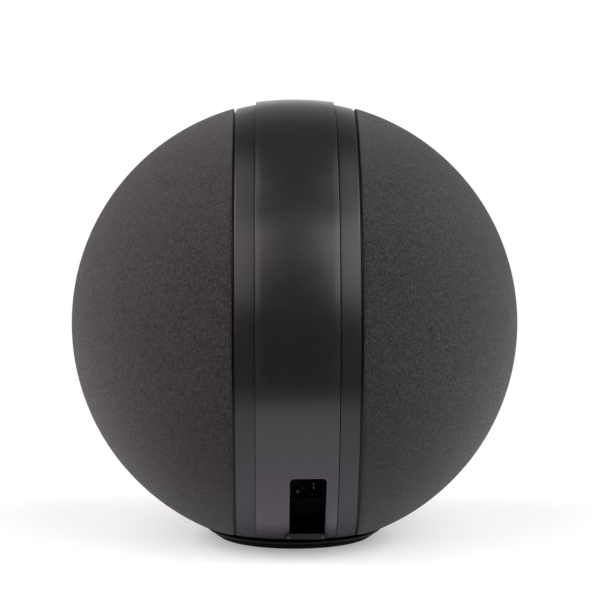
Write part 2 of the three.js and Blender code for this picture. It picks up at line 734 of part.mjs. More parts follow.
function addMovingCone(parent, side) {
  const cone = latheAboutX(
    [
      [COIL_OUTER_RADIUS, CONE_NECK_U],
      [CONE_RIM_RADIUS, CONE_RIM_U - CONE_THICKNESS],
      [CONE_RIM_RADIUS, CONE_RIM_U],
      [COIL_OUTER_RADIUS, CONE_NECK_U + CONE_THICKNESS],
    ],
    DRIVER_SEGMENTS,
  );
  addMesh(parent, `${side}_cone`, cone, conePaper());
  const capTop = DUST_CAP_U + DUST_CAP_HEIGHT;
  const shoulderRadius = DUST_CAP_RADIUS / 2;
  const shoulderU = DUST_CAP_U + 0.75 * DUST_CAP_HEIGHT;
  const cap = latheAboutX(
    [
      [0, capTop - DUST_CAP_THICKNESS],
      [shoulderRadius, shoulderU - DUST_CAP_THICKNESS],
      [DUST_CAP_RADIUS - DUST_CAP_THICKNESS, DUST_CAP_U],
      [DUST_CAP_RADIUS, DUST_CAP_U],
      [shoulderRadius, shoulderU],
      [0, capTop],
    ],
    DRIVER_SEGMENTS,
  );
  addMesh(parent, `${side}_dust_cap`, cap, conePaper());
  const coilFront = CONE_NECK_U - FIT_GAP;
  const coil = latheAboutX(
    [
      [COIL_INNER_RADIUS, COIL_BACK_U],
      [COIL_OUTER_RADIUS, COIL_BACK_U],
      [COIL_OUTER_RADIUS, coilFront],
      [COIL_INNER_RADIUS, coilFront],
    ],
    DRIVER_SEGMENTS,
  );
  addMesh(parent, `${side}_voice_coil`, coil, copper());
}

// A ring of even thickness that follows a line of [radius, u] points.
function pressedRing(line, thickness) {
  const front = line.map(([radius, u]) => [radius, u + thickness]).reverse();
  return latheAboutX([...line, ...front], DRIVER_SEGMENTS);
}

function addSuspension(parent, side) {
  const landU = BASKET_FLANGE_U + FIT_GAP;
  const rollLine = [
    [SURROUND_INNER_RADIUS, landU],
    [SURROUND_INNER_RADIUS + SURROUND_LAND_WIDTH, landU],
    [(SURROUND_INNER_RADIUS + SURROUND_OUTER_RADIUS) / 2, landU + SURROUND_ROLL_HEIGHT],
    [SURROUND_OUTER_RADIUS - SURROUND_LAND_WIDTH, landU],
    [SURROUND_OUTER_RADIUS, landU],
  ];
  addMesh(parent, `${side}_surround`, pressedRing(rollLine, SURROUND_THICKNESS), rubber());
  const spiderLine = [];
  for (let step = 0; step <= SPIDER_WAVE_STEPS; step += 1) {
    const share = step / SPIDER_WAVE_STEPS;
    const radius = SPIDER_INNER_RADIUS + (SPIDER_OUTER_RADIUS - SPIDER_INNER_RADIUS) * share;
    spiderLine.push([radius, SPIDER_U + (step % 2) * SPIDER_WAVE_HEIGHT]);
  }
  addMesh(parent, `${side}_spider`, pressedRing(spiderLine, SPIDER_THICKNESS), spiderCloth());
}

function addDriverScrews(parent, side) {
  const headU = BASKET_FLANGE_U + FIT_GAP;
  const profile = [
    [0, BAFFLE_INNER_U],
    [DRIVER_SCREW_RADIUS, BAFFLE_INNER_U],
    [DRIVER_SCREW_RADIUS, headU],
    [DRIVER_SCREW_HEAD_RADIUS, headU],
    [DRIVER_SCREW_HEAD_RADIUS, headU + DRIVER_SCREW_HEAD_RIM],
    [DRIVER_SCREW_HEAD_TOP_RADIUS, headU + DRIVER_SCREW_HEAD_HEIGHT],
    [0, headU + DRIVER_SCREW_HEAD_HEIGHT],
  ];
  driverScrewPlaces().forEach(([y, z], index) => {
    const screw = latheAboutX(profile, SMALL_SEGMENTS);
    addMesh(parent, `${side}_driver_screw_${index + 1}`, screw, steel()).position.set(0, y, z);
  });
}

function addSide(parent, side) {
  addMesh(parent, `${side}_knit_cover`, geometryOf(coverSolid()), knit());
  addMesh(parent, `${side}_grille`, geometryOf(grilleSolid()), structuralPlastic());
  addMesh(parent, `${side}_baffle`, geometryOf(baffleSolid()), structuralPlastic());
  addMesh(parent, `${side}_basket`, geometryOf(basketSolid()), structuralPlastic());
  addMotor(parent, side);
  addMovingCone(parent, side);
  addSuspension(parent, side);
  addDriverScrews(parent, side);
}

// Boards between the baffles

function boardSolid(depth, bottom) {
  const low = [-BOARD_HALF_WIDTH, -depth / 2, bottom];
  const high = [BOARD_HALF_WIDTH, depth / 2, bottom + BOARD_THICKNESS];
  return boxSolid(low, high);
}

function heatSinkSolid() {
  const half = HEAT_SINK_SIZE / 2;
  const bottom = MAIN_BOARD_Z + BOARD_THICKNESS + FIT_GAP;
  let sink = boxSolid([-half, -half, bottom], [half, half, bottom + HEAT_SINK_BASE]);
  const pitch = (HEAT_SINK_SIZE - HEAT_SINK_FIN_THICKNESS) / (HEAT_SINK_FINS - 1);
  for (let index = 0; index < HEAT_SINK_FINS; index += 1) {
    const x = -half + index * pitch;
    const fin = boxSolid([x, -half, bottom], [x + HEAT_SINK_FIN_THICKNESS, half, bottom + HEAT_SINK_HEIGHT]);
    sink = sink.add(fin);
  }
  return sink;
}

function addBoards(parent) {
  const boards = {
    main_board: boardSolid(MAIN_BOARD_DEPTH, MAIN_BOARD_Z),
    power_board: boardSolid(POWER_BOARD_DEPTH, POWER_BOARD_Z),
    microphone_board: boardSolid(MICROPHONE_BOARD_DEPTH, MICROPHONE_BOARD_Z),
  };
  for (const [name, solid] of Object.entries(boards)) {
    addMesh(parent, name, geometryOf(solid), circuitBoard());
  }
  addMesh(parent, "heat_sink", geometryOf(heatSinkSolid()), aluminium());
}

const speaker = new THREE.Group();
speaker.name = "smart_speaker";

const ball = new THREE.Group();
ball.name = "ball";
ball.position.z = CENTRE_ABOVE_FLOOR;
speaker.add(ball);

for (const [side, turn] of Object.entries({ right: 0, left: Math.PI })) {
  const half = new THREE.Group();
  half.name = `${side}_side`;
  half.rotation.z = turn;
  ball.add(half);
  addSide(half, side);
}
addBand(ball);
addRecess(ball);
addBase(ball);
addBoards(ball);

export default speaker;
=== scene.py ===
"""Ball-shaped smart speaker, seen from behind: knit domes, satin centre band, rear recess, round foot.

Sizes are in millimetres from the centre of the ball, and angles in degrees. The camera's and the lamps'
distances are in metres. finish_mesh puts every mesh into the CAD's frame, in metres.
"""

import json
import math

import bmesh
import bpy
from mathutils import Matrix, Vector


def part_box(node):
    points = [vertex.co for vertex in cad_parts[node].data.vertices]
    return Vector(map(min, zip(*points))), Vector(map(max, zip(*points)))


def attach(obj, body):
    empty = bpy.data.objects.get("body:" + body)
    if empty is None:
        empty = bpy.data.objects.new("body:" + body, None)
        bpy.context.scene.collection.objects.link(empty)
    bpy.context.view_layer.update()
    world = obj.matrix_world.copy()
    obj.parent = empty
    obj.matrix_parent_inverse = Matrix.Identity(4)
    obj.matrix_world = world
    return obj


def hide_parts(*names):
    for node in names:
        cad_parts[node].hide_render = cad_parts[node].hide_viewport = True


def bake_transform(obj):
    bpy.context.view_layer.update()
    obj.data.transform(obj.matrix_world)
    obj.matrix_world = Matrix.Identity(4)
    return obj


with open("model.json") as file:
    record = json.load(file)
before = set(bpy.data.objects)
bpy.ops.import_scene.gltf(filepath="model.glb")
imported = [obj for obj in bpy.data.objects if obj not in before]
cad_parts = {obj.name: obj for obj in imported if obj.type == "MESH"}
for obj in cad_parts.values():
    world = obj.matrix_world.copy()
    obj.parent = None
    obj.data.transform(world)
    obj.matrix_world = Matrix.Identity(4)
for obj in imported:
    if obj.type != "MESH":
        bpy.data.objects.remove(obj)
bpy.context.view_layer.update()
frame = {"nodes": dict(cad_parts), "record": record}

MM = 0.001
FAR = 150.0
FIT_GAP = 0.3
SHARP_ANGLE = 35.0
CAD_SHARP_ANGLE = 30.0
STRAIGHT_ENOUGH = 165.0
CORNER_SHARE = 0.45

# Camera
CAMERA_AZIMUTH = 179.23
CAMERA_ELEVATION = 5.53
CAMERA_DISTANCE = 0.945
CAMERA_LENS = 125.9
SENSOR_WIDTH = 36.0
AIM_ACROSS = 0.00257
AIM_UP = 0.01084

# Ball
BODY_BOTTOM = -91.0
COVER_RADIUS = 99.8
COVER_EDGE_X = 26.9
COVER_BOTTOM = BODY_BOTTOM + 0.5
COVER_STEPS = 192
COVER_ARC_STEPS = 72
EDGE_ROLL = 0.6
EDGE_ROLL_STEPS = 5
KNIT_THICKNESS = 0.6

# Hoop sections
STRAP_CROWN = 100.1
STRAP_EDGE_DROP = 1.15
STRAP_HALF = 17.2
STRAP_INNER = 96.2
RAIL_SURFACE = 99.27
RAIL_FROM_X = {"left": 17.5, "right": 17.26}
RAIL_TO_X = 26.15
RAIL_LIP_X = 27.3
RAIL_LIP = 94.3
RAIL_INNER = 93.3
RAIL_CHAMFER = 0.6
RAIL_CHAMFER_DROP = 0.7
RAIL_FACE_STEPS = 8
RAIL_CORNER = 0.15
HOOP_STEPS = 240
STRAP_CROWN_STEPS = 12
STRAP_CORNER = 0.12
STRAP_BOTTOM = -90.6
CURL = 2.8
CURL_TOP = -83.6
CURL_FROM_RADIUS = STRAP_INNER + 0.5

# Rear recess
RECESS_X = -4.6
RECESS_HALF = 7.65
RECESS_TOP = -57.0
RECESS_CORNER = 1.9
RECESS_CORNER_STEPS = 8
POCKET_WALL = 1.5
POCKET_BACK = 37.5
POCKET_CEILING = -56.8
POCKET_FLOOR = -85.3
POCKET_OUTER = 95.9
POCKET_CORNER = 0.6
SHELF_TOP = -82.8
SHELF_FRONT = 50.0
PANEL_FRONT = 58.0
PANEL_THICKNESS = 1.5
PANEL_BOTTOM = -70.5
PANEL_CORNER = 0.5
SOCKET = (-7.3, -64.9)
SOCKET_RADIUS = 3.1
SOCKET_BORE = 2.3
SOCKET_BACK = 45.0
SOCKET_PROUD = 0.8
CONTACT_BACK = SOCKET_BACK + 1.8
CONTACT_RADIUS = 0.6
CONTACT_TIP = SOCKET_BACK + 12.8
BUTTON = (-0.5, -66.5)
BUTTON_RADIUS = 1.25
BUTTON_PROUD = 0.6
BUTTON_FLANGE = 2.0
SILL_TOP = -86.0
SILL_BOTTOM = -90.15
SILL_LEFT = -12.2
SILL_RIGHT = 4.1
SILL_RADIUS = 100.25
SILL_CORNER = 0.9
SILL_PIN_Z = -88.3
SILL_PIN_REACH = 7.5
SILL_PIN_RADIUS = 0.7
SILL_PIN_PROUD = 0.4
SILL_PIN_LENGTH = 2.4

# Base and foot
BASE_WELL = 39.6
BASE_WELL_TOP = -79.7
NECK_RADIUS = 35.3
NECK_BOTTOM = -94.6
FLOOR = -96.2
PLATE_RADIUS = BASE_WELL - 0.4
PLATE_TOP = BODY_BOTTOM + 3.5
COLLAR_BOTTOM = NECK_BOTTOM + 1.3
COLLAR_TOP = NECK_BOTTOM + 2.7
PAD_INNER = 22.0
PAD_TOP = NECK_BOTTOM - FIT_GAP
PAD_RIM = NECK_BOTTOM + 1.1
FOOT_STEPS = 192
SCREW_CIRCLE = 14.0
SCREW_COUNT = 4
SCREW_BOTTOM = NECK_BOTTOM + 0.3
SCREW_HEAD = 2.9
SCREW_HEAD_HEIGHT = 2.0
SCREW_SHANK = 1.4
SCREW_LENGTH = 8.7
SCREW_HEAD_HOLE = 3.2
SCREW_SHANK_HOLE = 1.7

# Cone suspension
RING_STEPS = 128
SURROUND_INNER = 27.2
SURROUND_OUTER = 35.2
SURROUND_THICKNESS = 0.8
ROLL_INNER = 29.3
ROLL_OUTER = 33.1
ROLL_HEIGHT = 2.0
ROLL_STEPS = 20
SPIDER_INNER = 10.2
SPIDER_OUTER = 17.8
SPIDER_THICKNESS = 0.5
SPIDER_WAVE_FROM = 11.2
SPIDER_WAVE_TO = 16.8
SPIDER_WAVE_HEIGHT = 0.7
SPIDER_WAVES = 3
SPIDER_WAVE_STEPS = 12

# Finishes, with colours in linear light
KNIT_COLOUR = (0.0253, 0.0251, 0.0251)
# The knit colour tinted warm for the right cover, the picture's left, as painted warm light.
WARM_LIT_KNIT_COLOUR = (0.0292, 0.0236, 0.0254)
BAND_COLOUR = (0.014, 0.0135, 0.014)
BAND_CAST = (0.0055, 0.0, 0.0115)
RAIL_COLOUR = (0.0105, 0.0103, 0.0105)
RAIL_CAST = (0.0006, 0.0, 0.0075)
# Far darker than the band's black, as painted shade inside the recess.
RECESS_SHADED_COLOUR = (0.0012, 0.0012, 0.0014)
COLLAR_COLOUR = (0.003, 0.003, 0.0031)
# A darker copy of the rail colour for the lip, as painted shade at the bottom of the ball.
SILL_SHADED_COLOUR = (0.004, 0.004, 0.0042)
SILL_PIN_COLOUR = (0.13, 0.13, 0.13)
RUBBER_COLOUR = (0.002, 0.002, 0.002)
TIN_COLOUR = (0.5, 0.48, 0.42)
FLOOR_COLOUR = (0.68, 0.68, 0.68)
CAST_FROM = -30.0
CAST_TO = -62.0
# Height at which the painted shade at the bottom of the band and rails is strongest.
BOTTOM_SHADE_TO = BODY_BOTTOM + 0.5
NOISE_LOW = 0.3
NOISE_HIGH = 0.7
SPARK_DEPTH = 0.002
SCRATCH_DEPTH = 0.004
FLAKE_CONTRAST = 0.3
WIRE_PITCH = 0.22
THREAD_PITCH = 0.7

# Studio
BACKDROP = 1.15
BACKDROP_TOP = 0.33
ROOM = 0.045
LAMP_DISTANCE = 1.4
WHITE = (1.0, 1.0, 1.0)
PINK = (1.0, 0.9, 0.95)
FLOOR_RADIUS = 205.0
FLOOR_GAP = 0.02
FLOOR_GLOW = 0.27

STRAP_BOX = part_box("strap")
CENTRE = Vector((0.0, 0.0, STRAP_BOX[1][2] - (STRAP_BOX[1][1] - STRAP_BOX[0][1]) / 2))


# Camera


def make_camera():
    """A long lens that faces the speaker's rear from a little above its centre."""
    azimuth = math.radians(CAMERA_AZIMUTH)
    elevation = math.radians(CAMERA_ELEVATION)
    data = bpy.data.cameras.new("photo_camera")
    data.sensor_width = SENSOR_WIDTH
    data.lens = CAMERA_LENS
    camera = bpy.data.objects.new("photo_camera", data)
    bpy.context.scene.collection.objects.link(camera)
    bpy.context.scene.camera = camera
    away = Vector(
        (
            math.sin(azimuth) * math.cos(elevation),
            -math.cos(azimuth) * math.cos(elevation),
            math.sin(elevation),
        )
    )
    camera.location = CENTRE + away * CAMERA_DISTANCE
    across = (-away).cross(Vector((0, 0, 1))).normalized()
    upwards = across.cross(-away).normalized()
    aim = -away + across * AIM_ACROSS + upwards * AIM_UP
    camera.rotation_mode = "QUATERNION"
    camera.rotation_quaternion = aim.to_track_quat("-Z", "Y")


# Mesh building


def new_object(name, mesh):
    piece = bpy.data.objects.new(name, mesh)
    bpy.context.scene.collection.objects.link(piece)
    return piece


def finish_mesh(name, bm):
    """Turns a bmesh in millimetres about the ball's centre into a smooth-shaded object."""
    bmesh.ops.recalc_face_normals(bm, faces=bm.faces)
    bm.transform(Matrix.Translation(CENTRE) @ Matrix.Scale(MM, 4))
    mesh = bpy.data.meshes.new(name)
    bm.to_mesh(mesh)
    bm.free()
    mesh.polygons.foreach_set("use_smooth", [True] * len(mesh.polygons))
    mesh.set_sharp_from_angle(angle=math.radians(SHARP_ANGLE))
    return new_object(name, mesh)


def turn_about_x(radius, along, angle):
    return (along, radius * math.sin(angle), radius * math.cos(angle))


def turn_about_y(radius, along, angle):
    return (radius * math.sin(angle), along, radius * math.cos(angle))


def turn_about_z(radius, along, angle):
    return (radius * math.cos(angle), radius * math.sin(angle), along)


def revolve(bm, profile, steps, place, closed=True):
    """Turns a profile of (radius, distance along the axis) right round. A zero radius makes a pole."""
    rings = []
    for step in range(steps):
        angle = 2 * math.pi * step / steps
        rings.append([(radius, place(radius, along, angle)) for radius, along in profile])
    poles = {}
    verts = []
    for ring in rings:
        row = []
        for index, (radius, point) in enumerate(ring):
            if radius == 0:
                if index not in poles:
                    poles[index] = bm.verts.new(point)
                row.append(poles[index])
            else:
                row.append(bm.verts.new(point))
        verts.append(row)
    count = len(profile)
    spans = range(count if closed else count - 1)
    for step in range(steps):
        here, there = verts[step], verts[(step + 1) % steps]
        for index in spans:
            after = (index + 1) % count
            corners = [here[index], here[after], there[after], there[index]]
            unique = list(dict.fromkeys(corners))
            if len(unique) > 2:
                bm.faces.new(unique)


def rounded(points, radius, segments=3):
    """A closed 2D outline with each corner replaced by a small arc."""
    result = []
    count = len(points)
    for index in range(count):
        before = Vector(points[index - 1])
        corner = Vector(points[index])
        after = Vector(points[(index + 1) % count])
        back, ahead = before - corner, after - corner
        if back.angle(ahead) > math.radians(STRAIGHT_ENOUGH):
            result.append((corner.x, corner.y))
            continue
        reach = min(radius, back.length * CORNER_SHARE, ahead.length * CORNER_SHARE)
        start, end = corner + back.normalized() * reach, corner + ahead.normalized() * reach
        for step in range(segments + 1):
            t = step / segments
            point = start * (1 - t) ** 2 + corner * 2 * t * (1 - t) + end * t**2
            result.append((point.x, point.y))
    return result


def cut_bottom(bm, height=BODY_BOTTOM, fill=True):
    """Removes everything below a height, and closes the cut if fill is set."""
    geometry = bm.verts[:] + bm.edges[:] + bm.faces[:]
    made = bmesh.ops.bisect_plane(
        bm, geom=geometry, plane_co=(0, 0, height), plane_no=(0, 0, -1), clear_outer=True
    )
    if fill:
        rim = [item for item in made["geom_cut"] if isinstance(item, bmesh.types.BMEdge)]
        bmesh.ops.holes_fill(bm, edges=rim, sides=0)


def prism(bm, outline, low, high, place):
    """Extrudes a closed outline of (a, b) from low to high. place turns (a, b, height) into a point."""
    bottom = [bm.verts.new(place(a, b, low)) for a, b in outline]
    top = [bm.verts.new(place(a, b, high)) for a, b in outline]
    count = len(outline)
    bm.faces.new(bottom)
    bm.faces.new(top)
    for index in range(count):
        after = (index + 1) % count
        bm.faces.new([bottom[index], bottom[after], top[after], top[index]])


def along_y(a, b, height):
    return (a, height, b)


def along_x(a, b, height):
    return (height, a, b)


def upright(a, b, height):
    return (a, b, height)


def circle(radius, centre=(0.0, 0.0), steps=96):
    return [
        (
            centre[0] + radius * math.cos(2 * math.pi * step / steps),
            centre[1] + radius * math.sin(2 * math.pi * step / steps),
        )
        for step in range(steps)
    ]


def rectangle(left, right, bottom, top):
    return [(left, bottom), (right, bottom), (right, top), (left, top)]


def apply_modifiers(piece):
    """Replaces the piece's mesh with its modified one and clears the modifiers."""
    graph = bpy.context.evaluated_depsgraph_get()
    mesh = bpy.data.meshes.new_from_object(piece.evaluated_get(graph))
    piece.modifiers.clear()
    piece.data = mesh


def boolean(piece, cutter_bm, operation="DIFFERENCE"):
    """Cuts the solid in cutter_bm from the piece, keeps only what they share, or joins the two."""
    cutter = finish_mesh("cutter", cutter_bm)
    modifier = piece.modifiers.new("cut", "BOOLEAN")
    modifier.operation = operation
    modifier.solver = "EXACT"
    modifier.object = cutter
    bpy.context.view_layer.update()
    apply_modifiers(piece)
    bpy.data.objects.remove(cutter)


# Shapes


def knit_cover(side, sign):
    """A stretched knit skin: a dome whose edge rolls down into the gap beside the rail."""
    profile = [(0.0, COVER_RADIUS)]
    roll_start = math.acos(COVER_EDGE_X / COVER_RADIUS) - EDGE_ROLL / COVER_RADIUS
    for step in range(1, COVER_ARC_STEPS + 1):
        angle = roll_start * step / COVER_ARC_STEPS
        profile.append((COVER_RADIUS * math.sin(angle), COVER_RADIUS * math.cos(angle)))
    rim_radius, rim_x = profile[-1]
    for step in range(1, EDGE_ROLL_STEPS + 1):
        turn = math.pi / 2 * step / EDGE_ROLL_STEPS
        profile.append((rim_radius - EDGE_ROLL * (1 - math.cos(turn)), rim_x - EDGE_ROLL * math.sin(turn)))
    profile.append((RAIL_LIP + FIT_GAP, rim_x - EDGE_ROLL))
    bm = bmesh.new()
    revolve(bm, [(radius, sign * x) for radius, x in profile], COVER_STEPS, turn_about_x, closed=False)
    cut_bottom(bm, COVER_BOTTOM, fill=False)
    piece = finish_mesh(f"{side}_knit_skin", bm)
    skin = piece.modifiers.new("thickness", "SOLIDIFY")
    skin.thickness = KNIT_THICKNESS * MM
    skin.offset = -1.0
    return piece


def hoop(name, outline, corner, curl=0.0, bottom=BODY_BOTTOM):
    """A hoop round X from an outline of (radius, x), with softened corners, cut away for the base.

    curl is how far the lower edge of the outer face turns in towards the foot.
    """
    bm = bmesh.new()
    revolve(bm, rounded(outline, corner), HOOP_STEPS, turn_about_x)
    for vert in bm.verts:
        share = (CURL_TOP - vert.co.z) / (CURL_TOP - bottom)
        if share > 0 and math.hypot(vert.co.y, vert.co.z) > CURL_FROM_RADIUS:
            vert.co.y -= math.copysign(curl * share * share, vert.co.y)
    cut_bottom(bm, bottom)
    piece = finish_mesh(name, bm)
    well = bmesh.new()
    prism(well, circle(BASE_WELL), -FAR, BASE_WELL_TOP, upright)
    boolean(piece, well)
    return piece


def strap_outline():
    crown = []
    for step in range(STRAP_CROWN_STEPS + 1):
        share = 2 * step / STRAP_CROWN_STEPS - 1
        crown.append((STRAP_CROWN - STRAP_EDGE_DROP * share * share, STRAP_HALF * share))
    return [(STRAP_INNER, -STRAP_HALF), *crown, (STRAP_INNER, STRAP_HALF)]


def mouth_outline():
    """The recess mouth as (x, z): rounded top corners, square below."""
    left, right = RECESS_X - RECESS_HALF, RECESS_X + RECESS_HALF
    points = [(left, -FAR), (right, -FAR)]
    for centre_x, start in ((right - RECESS_CORNER, 0), (left + RECESS_CORNER, 90)):
        for step in range(RECESS_CORNER_STEPS + 1):
            angle = math.radians(start + 90 * step / RECESS_CORNER_STEPS)
            points.append(
                (
                    centre_x + RECESS_CORNER * math.cos(angle),
                    RECESS_TOP - RECESS_CORNER + RECESS_CORNER * math.sin(angle),
                )
            )
    return points


def strap():
    """The raised centre band, cut out for the recess and for the lip below it."""
    piece = hoop("strap_shell", strap_outline(), STRAP_CORNER, curl=CURL, bottom=STRAP_BOTTOM)
    cutter = bmesh.new()
    prism(cutter, mouth_outline(), 0.0, FAR, along_y)
    boolean(piece, cutter)
    notch = bmesh.new()
    outline = rectangle(SILL_LEFT - FIT_GAP, SILL_RIGHT + FIT_GAP, -FAR, SILL_TOP + FIT_GAP)
    prism(notch, outline, 0.0, FAR, along_y)
    boolean(piece, notch)
    return piece


def rail_radius(x):
    """How far the rail's face is from the X axis, so that it follows the ball."""
    return math.sqrt(RAIL_SURFACE**2 - x * x)


def rail(side, sign):
    """A flush hoop beside the strap, with a lip that passes under the edge of the knit."""
    chamfer = RAIL_TO_X - RAIL_CHAMFER
    start = RAIL_FROM_X[side]
    surface = []
    for step in range(RAIL_FACE_STEPS + 1):
        x = start + (chamfer - start) * step / RAIL_FACE_STEPS
        surface.append((rail_radius(x), x))
    outline = [
        (RAIL_INNER, start),
        *surface,
        (rail_radius(chamfer) - RAIL_CHAMFER_DROP, RAIL_TO_X),
        (RAIL_LIP, RAIL_TO_X),
        (RAIL_LIP, RAIL_LIP_X),
        (RAIL_INNER, RAIL_LIP_X),
    ]
    return hoop(f"{side}_rail_shell", [(radius, sign * x) for radius, x in outline], RAIL_CORNER)


def turned(name, outline, place, steps, corner=0.2, at=(0.0, 0.0, 0.0), tilt=0.0):
    """A turned piece from an outline of (radius, distance along the axis).

    An outline that starts on the axis also ends on it, and keeps its corners as given. Any other is a ring.
    tilt turns the piece about X before it is put at its place.
    """
    bm = bmesh.new()
    on_axis = outline[0][0] == 0
    revolve(bm, outline if on_axis else rounded(outline, corner), steps, place, closed=not on_axis)
    bm.transform(Matrix.Translation(at) @ Matrix.Rotation(tilt, 4, "X"))
    return finish_mesh(name, bm)


def recess_pocket():
    """The housing behind the mouth: open at the front, with a shelf at its lower front."""
    half = RECESS_HALF + POCKET_WALL
    left, right = RECESS_X - half, RECESS_X + half
    low, high = POCKET_FLOOR - POCKET_WALL, POCKET_CEILING + POCKET_WALL
    bm = bmesh.new()
    prism(bm, rectangle(left, right, low, high), POCKET_BACK - POCKET_WALL, FAR, along_y)
    piece = finish_mesh("recess_shell", bm)
    inner_left, inner_right = RECESS_X - RECESS_HALF, RECESS_X + RECESS_HALF
    for bottom, back in ((POCKET_FLOOR, SHELF_FRONT), (SHELF_TOP, POCKET_BACK)):
        hollow = bmesh.new()
        outline = rounded(rectangle(inner_left, inner_right, bottom, POCKET_CEILING), POCKET_CORNER)
        prism(hollow, outline, back, FAR, along_y)
        boolean(piece, hollow)
    drum = bmesh.new()
    prism(drum, circle(POCKET_OUTER, steps=HOOP_STEPS), -FAR, FAR, along_x)
    boolean(piece, drum, "INTERSECT")
    return piece


def socket_panel():
    """The plate inside the recess, with a hole for the socket and one for the button."""
    half = RECESS_HALF - FIT_GAP
    outline = rectangle(RECESS_X - half, RECESS_X + half, PANEL_BOTTOM, POCKET_CEILING - FIT_GAP)
    bm = bmesh.new()
    prism(bm, rounded(outline, PANEL_CORNER), PANEL_FRONT - PANEL_THICKNESS, PANEL_FRONT, along_y)
    piece = finish_mesh("socket_plate", bm)
    for centre, radius in ((SOCKET, SOCKET_RADIUS + FIT_GAP), (BUTTON, BUTTON_RADIUS + FIT_GAP)):
        hole = bmesh.new()
        prism(hole, circle(radius, centre, 48), 0.0, FAR, along_y)
        boolean(piece, hole)
    return piece


def power_socket():
    front = PANEL_FRONT + SOCKET_PROUD
    outline = [
        (0.0, SOCKET_BACK),
        (SOCKET_RADIUS, SOCKET_BACK),
        (SOCKET_RADIUS, front - 0.25),
        (SOCKET_RADIUS - 0.25, front),
        (SOCKET_BORE + 0.3, front),
        (SOCKET_BORE, front - 0.3),
        (SOCKET_BORE, SOCKET_BACK + 1.5),
        (0.0, SOCKET_BACK + 1.5),
    ]
    return turned("socket_barrel", outline, turn_about_y, at=(SOCKET[0], 0.0, SOCKET[1]), steps=48)


def socket_pin():
    """The socket's centre pin, with the contact leaf above it."""
    outline = [
        (0.0, CONTACT_BACK),
        (CONTACT_RADIUS, CONTACT_BACK),
        (CONTACT_RADIUS, CONTACT_TIP - 0.6),
        (0.45, CONTACT_TIP - 0.2),
        (0.25, CONTACT_TIP - 0.04),
        (0.0, CONTACT_TIP),
    ]
    piece = turned("socket_contact", outline, turn_about_y, at=(SOCKET[0], 0.0, SOCKET[1]), steps=24)
    leaf_front = PANEL_FRONT + 0.55
    low, high = SOCKET[1] + 1.6, SOCKET[1] + 2.15
    leaf = bmesh.new()
    section = [(CONTACT_BACK, low), (leaf_front, low), (leaf_front - 0.22, high), (CONTACT_BACK, high)]
    prism(leaf, section, SOCKET[0] - 0.5, SOCKET[0] + 0.5, along_x)
    boolean(piece, leaf, "UNION")
    return piece


def reset_button():
    """A small round cap, held in by a flange behind the panel."""
    front = PANEL_FRONT + BUTTON_PROUD
    outline = [
        (0.0, front - 6.0),
        (BUTTON_FLANGE, front - 6.0),
        (BUTTON_FLANGE, front - 2.7),
        (BUTTON_RADIUS, front - 2.7),
        (BUTTON_RADIUS, front - 0.35),
        (BUTTON_RADIUS - 0.12, front - 0.12),
        (BUTTON_RADIUS - 0.4, front),
        (0.45, front - 0.06),
        (0.0, front - 0.1),
    ]
    return turned("button_cap", outline, turn_about_y, at=(BUTTON[0], 0.0, BUTTON[1]), steps=40)


def recess_sill():
    """The lip under the recess, a slice of a slightly larger hoop."""
    outline = [
        (math.sqrt(SILL_RADIUS**2 - SILL_TOP**2), SILL_TOP),
        (math.sqrt(SILL_RADIUS**2 - SILL_BOTTOM**2), SILL_BOTTOM),
        (BASE_WELL + 0.2, SILL_BOTTOM),
        (BASE_WELL + 0.2, SILL_TOP - 1.6),
        (BASE_WELL + 5.0, SILL_TOP),
    ]
    bm = bmesh.new()
    prism(bm, rounded(outline, SILL_CORNER, 6), SILL_LEFT, SILL_RIGHT, along_x)
    return finish_mesh("sill_lip", bm)


def sill_pin(side, x):
    """A pin in the face of the lip, square to the ball."""
    slope = math.atan2(SILL_PIN_Z, math.sqrt(SILL_RADIUS**2 - SILL_PIN_Z**2))
    tip = SILL_RADIUS + SILL_PIN_PROUD
    outline = [
        (0.0, tip - SILL_PIN_LENGTH),
        (SILL_PIN_RADIUS, tip - SILL_PIN_LENGTH),
        (SILL_PIN_RADIUS, tip - 0.3),
        (0.5, tip - 0.06),
        (0.0, tip),
    ]
    return turned(f"{side}_sill_peg", outline, turn_about_y, at=(x, 0.0, 0.0), tilt=slope, steps=24)


def screw_places():
    places = []
    for index in range(SCREW_COUNT):
        angle = 2 * math.pi * (index + 0.5) / SCREW_COUNT
        places.append((SCREW_CIRCLE * math.cos(angle), SCREW_CIRCLE * math.sin(angle)))
    return places


def base_plate():
    """The plate that closes the ball, with its neck and the screws' stepped holes."""
    outline = [
        (0.0, NECK_BOTTOM),
        (NECK_RADIUS - 0.4, NECK_BOTTOM),
        (NECK_RADIUS, NECK_BOTTOM + 0.4),
        (NECK_RADIUS, BODY_BOTTOM),
        (BASE_WELL - 0.7, BODY_BOTTOM),
        (PLATE_RADIUS, BODY_BOTTOM + 0.3),
        (PLATE_RADIUS, PLATE_TOP),
        (0.0, PLATE_TOP),
    ]
    piece = turned("base_shell", outline, turn_about_z, steps=144)
    for place in screw_places():
        for radius, top in ((SCREW_HEAD_HOLE, NECK_BOTTOM + 2.6), (SCREW_SHANK_HOLE, FAR)):
            hole = bmesh.new()
            prism(hole, circle(radius, place, 32), -FAR, top, upright)
            boolean(piece, hole)
    return piece


